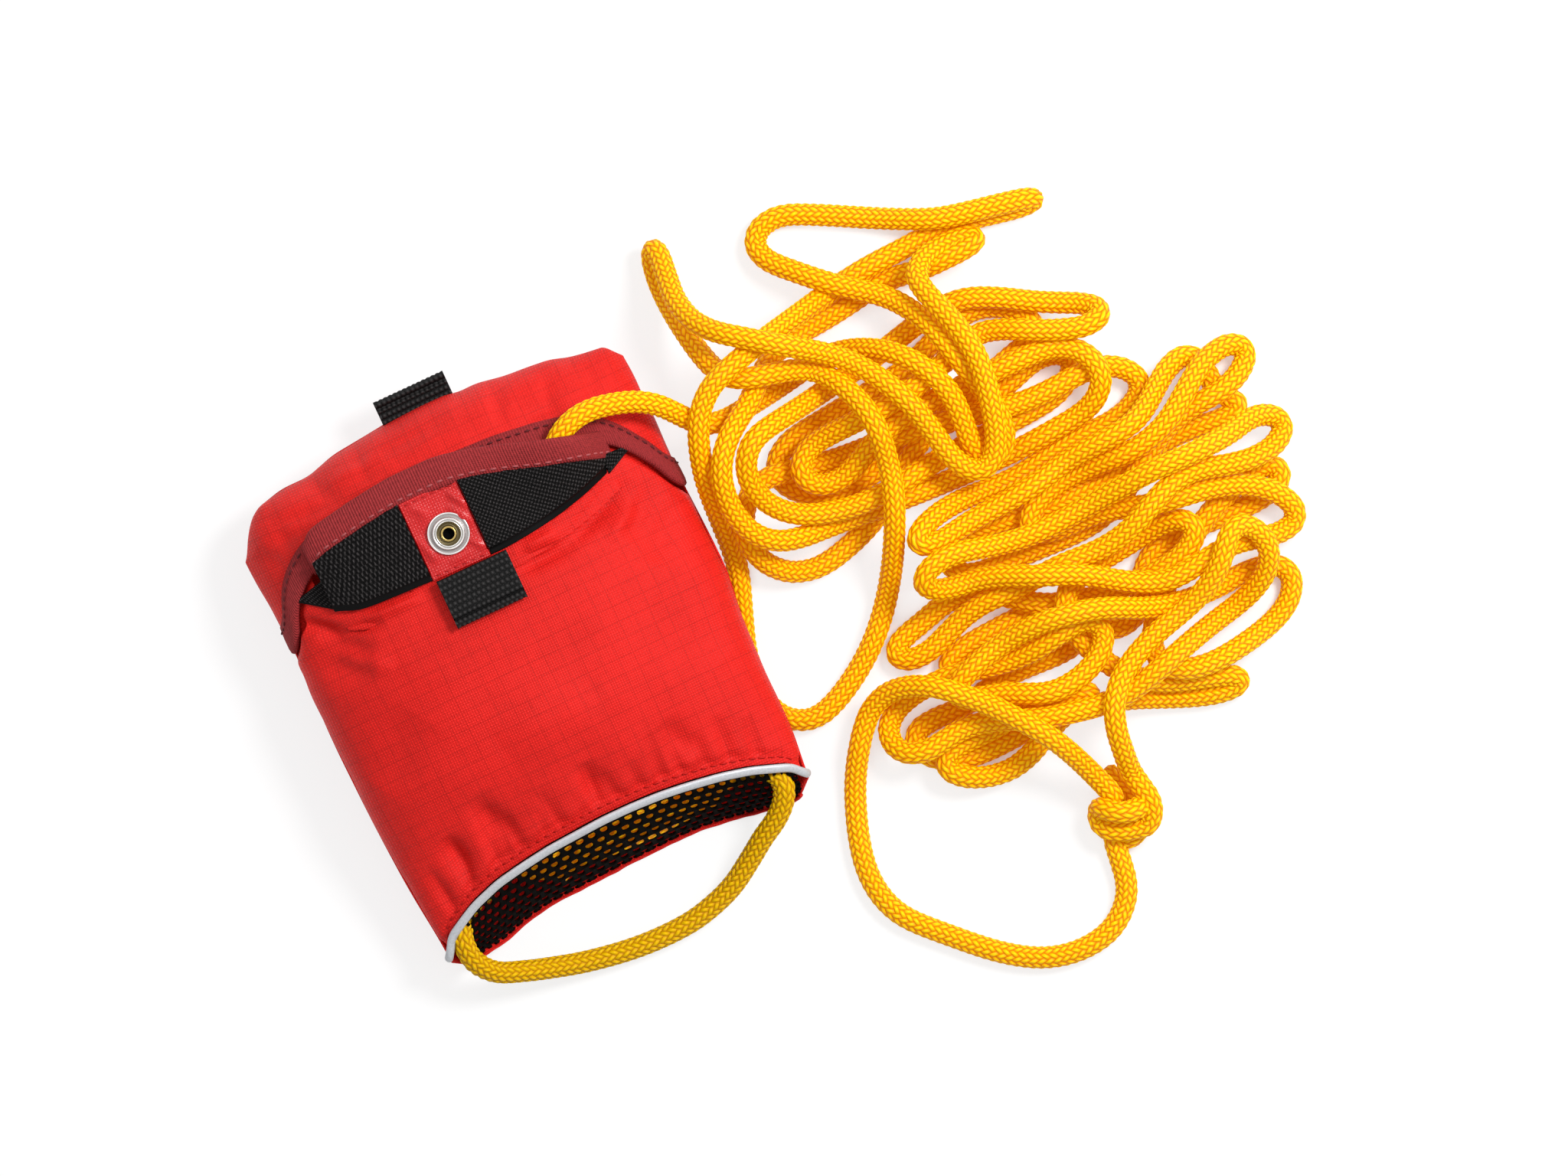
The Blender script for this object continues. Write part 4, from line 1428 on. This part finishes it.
class THROWBAG_OT_tabs(bpy.types.Operator):
    """Folds the two webbing pull tabs, with their ribs woven in"""

    bl_idname = "throwbag.tabs"
    bl_label = "Webbing tabs"

    def execute(self, context):
        sizes, colours = chosen(context)
        paint = webbing("nylon_webbing", colours.webbing, WEBBING_RIB, WEBBING_KNOT)
        half, long = sizes.webbing * METRE / 2, sizes.front_tab * METRE
        left, along = FRONT_TAB
        seam = height_at(along, sizes)
        tilt = math.atan2(height_at(along - long, sizes) - seam, long)
        cos, sin = math.cos(tilt), math.sin(tilt)
        foot = (left, along, seam + TAB_CLEAR + half)
        shape = self.folded(sizes, foot, (0, -cos, sin), (0, sin, cos), long)
        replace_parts(shape.piece("front_tab_webbing", [paint], "front_tab_body"), "front_tab")
        left, along = BACK_TAB
        long = sizes.back_tab * METRE + TAB_SEWN
        shape = self.folded(sizes, (left, along - TAB_SEWN, SEAM), (0, 1, 0), (0, 0, 1), long)
        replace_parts(shape.piece("back_tab_webbing", [paint], "back_tab_body"), "back_tab")
        return {"FINISHED"}

    def folded(self, sizes, foot, way, up, long):
        """A tab folded over at its tip, from its left foot along a way, with its upper face upwards."""
        wide, half = sizes.webbing_width * METRE, sizes.webbing * METRE / 2
        bend = np.linspace(math.pi / 2, -math.pi / 2, 9)
        tip_face = points_of(np.cos(bend), np.sin(bend))[1:-1]
        top = points_of(np.linspace(0, long - half, TAB_ROWS), half)
        outline = np.concatenate([top, (long - half, 0) + half * tip_face, top[::-1] * (1, -1)])
        face = np.concatenate([np.tile((0, 1), (TAB_ROWS, 1)), tip_face, np.tile((0, -1), (TAB_ROWS, 1))])
        run, u = distances(outline), np.linspace(0, wide, TAB_COLUMNS)
        odd = np.floor(run / WEBBING_RIB) % 2
        ribs = np.abs(np.sin(math.pi * run / WEBBING_RIB))[:, None] ** 0.7
        knots = np.abs(np.sin(math.pi * (u[None] / WEBBING_KNOT + 0.5 * odd[:, None])))
        edge = smooth_step(np.minimum(u, wide - u), 0, 1.0)
        ridge = 0.3 * np.exp(-(((run - (long - 1.4)) / 0.8) ** 2))
        sewn = 0.5 * np.exp(-(((run - (long - 3)) / 0.45) ** 2))
        offset = (ribs * (0.4 + 0.6 * knots) - 0.9) * 0.5 * edge[None] + (ridge - sewn)[:, None]
        spot = outline[:, None] * points_of(1, 0.75 + 0.25 * edge)[None] + face[:, None] * offset[..., None]
        spot = spot.transpose(1, 0, 2)
        rings = (np.array(foot) + u[:, None, None] * (1, 0, 0) + spot[..., :1] * np.array(way)
                 + spot[..., 1:] * np.array(up))
        shape = Shape()
        shape.skin_tube(rings, points_of(u[:, None], np.concatenate([run, run[:1]])[None]))
        return shape


class THROWBAG_OT_inside(bpy.types.Operator):
    """Stuffs the bag with the rest of the rope, the foam float and the hood's loop strips"""

    bl_idname = "throwbag.inside"
    bl_label = "Inside of the bag"

    def execute(self, context):
        sizes, colours = chosen(context)
        shape = Shape()
        rope_strand(shape, spline(self.packed_points()), sizes, relief=0, spacing=2.2, sides=14)
        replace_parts(shape.piece("packed_rope_folds", rope_paints(sizes, colours)), "packed_rope")

        along = np.linspace(FOAM_MIDDLE - FOAM_LONG, FOAM_MIDDLE + FOAM_LONG, 25)
        x, y = np.meshgrid(np.linspace(-FOAM_HALF, FOAM_HALF, 25), along)
        aside = smooth_step(np.abs(x), FOAM_HALF - FOAM_ROUND, FOAM_HALF)
        ahead = smooth_step(np.abs(y - FOAM_MIDDLE), FOAM_LONG - FOAM_ROUND, FOAM_LONG)
        high = FOAM_TOP - (1.5 * (aside + ahead)).clip(0, 2)
        shape = Shape()
        shape.sheet(points_of(x, y, high), FOAM_THICK, points_of(x, y))
        paint = plain("closed_cell_foam", colours.foam, grain=1.5, bump=0.3, Roughness=0.8)
        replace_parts(shape.piece("foam_float_slab", [paint]), "foam_float")

        for name, left, right, node in (("loop_tape_left", -0.5, -0.16, "loop_strip_left"),
                                        ("loop_tape_right", 0.16, 0.5, "loop_strip_right")):
            s, v = np.meshgrid(np.linspace(left, right, 50), np.linspace(0, 1, 20))
            y = edge_at(s, HOOD_RIM, sizes) + LOOP_TAPE_IN + LOOP_TAPE_WIDE * v
            grid = upper_skin(s, y, LOOP_TAPE_INSET, sizes)
            thick = 1.0 + 0.2 * rough(grid, size=1.5, seed=4.0)
            shape = Shape()
            shape.sheet(grid, thick, points_of(grid[..., 0], v * LOOP_TAPE_WIDE))
            paint = hook_tape(name, colours.tape, streak=1.0, pitch=1.2, selvage=0.5)
            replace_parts(shape.piece(name, [paint]), node)
        return {"FINISHED"}

    def packed_points(self):
        """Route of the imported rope, to and fro across the bag in layers."""
        points, forward = [], True
        for high, first, last, half in PACKED_LAYERS:
            lines = np.arange(first, last, PACKED_PITCH)
            for number, y in enumerate(lines if forward else lines[::-1]):
                reach = half * table(y, WIDTH_STEPS) - 3 * noise.noise((y, high, 1.0))
                for share in np.linspace(-1, 1, 7) * (1 if number % 2 else -1):
                    wave = 1.6 * noise.noise((share * 2, y * 0.2, high))
                    x = max(reach * share, -20 - 3 * (y - first))
                    points.append((x, y + wave, high + 0.8 * noise.noise((share, y, 7.0))))
            forward = not forward
        return points


class THROWBAG_PT_sidebar(bpy.types.Panel):
    """Lists the pieces of the throw bag with their sizes and colours"""

    bl_idname = "THROWBAG_PT_sidebar"
    bl_label = "Throw bag"
    bl_space_type = "VIEW_3D"
    bl_region_type = "UI"
    bl_category = "Throw bag"

    def draw(self, context):
        for piece in PIECES:
            self.layout.operator(piece.bl_idname)
        for settings in (context.scene.throw_bag_sizes, context.scene.throw_bag_colours):
            column = self.layout.column()
            for name in settings.__annotations__:
                column.prop(settings, name)


PIECES = (THROWBAG_OT_stage, THROWBAG_OT_spilled_rope, THROWBAG_OT_handle, THROWBAG_OT_bag_cloth,
          THROWBAG_OT_hood_binding, THROWBAG_OT_mouth_lip, THROWBAG_OT_snap, THROWBAG_OT_base,
          THROWBAG_OT_tabs, THROWBAG_OT_inside)
CLASSES = (ThrowBagSizes, ThrowBagColours, *PIECES, THROWBAG_PT_sidebar)


def register():
    for item in CLASSES:
        bpy.utils.register_class(item)
    bpy.types.Scene.throw_bag_sizes = bpy.props.PointerProperty(type=ThrowBagSizes)
    bpy.types.Scene.throw_bag_colours = bpy.props.PointerProperty(type=ThrowBagColours)


def unregister():
    del bpy.types.Scene.throw_bag_sizes
    del bpy.types.Scene.throw_bag_colours
    for item in reversed(CLASSES):
        bpy.utils.unregister_class(item)


def main():
    register()
    bpy.ops.throwbag.stage()
    bpy.ops.throwbag.spilled_rope()
    bpy.ops.throwbag.handle()
    bpy.ops.throwbag.bag_cloth()
    bpy.ops.throwbag.hood_binding()
    bpy.ops.throwbag.mouth_lip()
    bpy.ops.throwbag.snap()
    bpy.ops.throwbag.base()
    bpy.ops.throwbag.tabs()
    bpy.ops.throwbag.inside()
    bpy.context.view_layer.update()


if __name__ == "__main__":
    main()
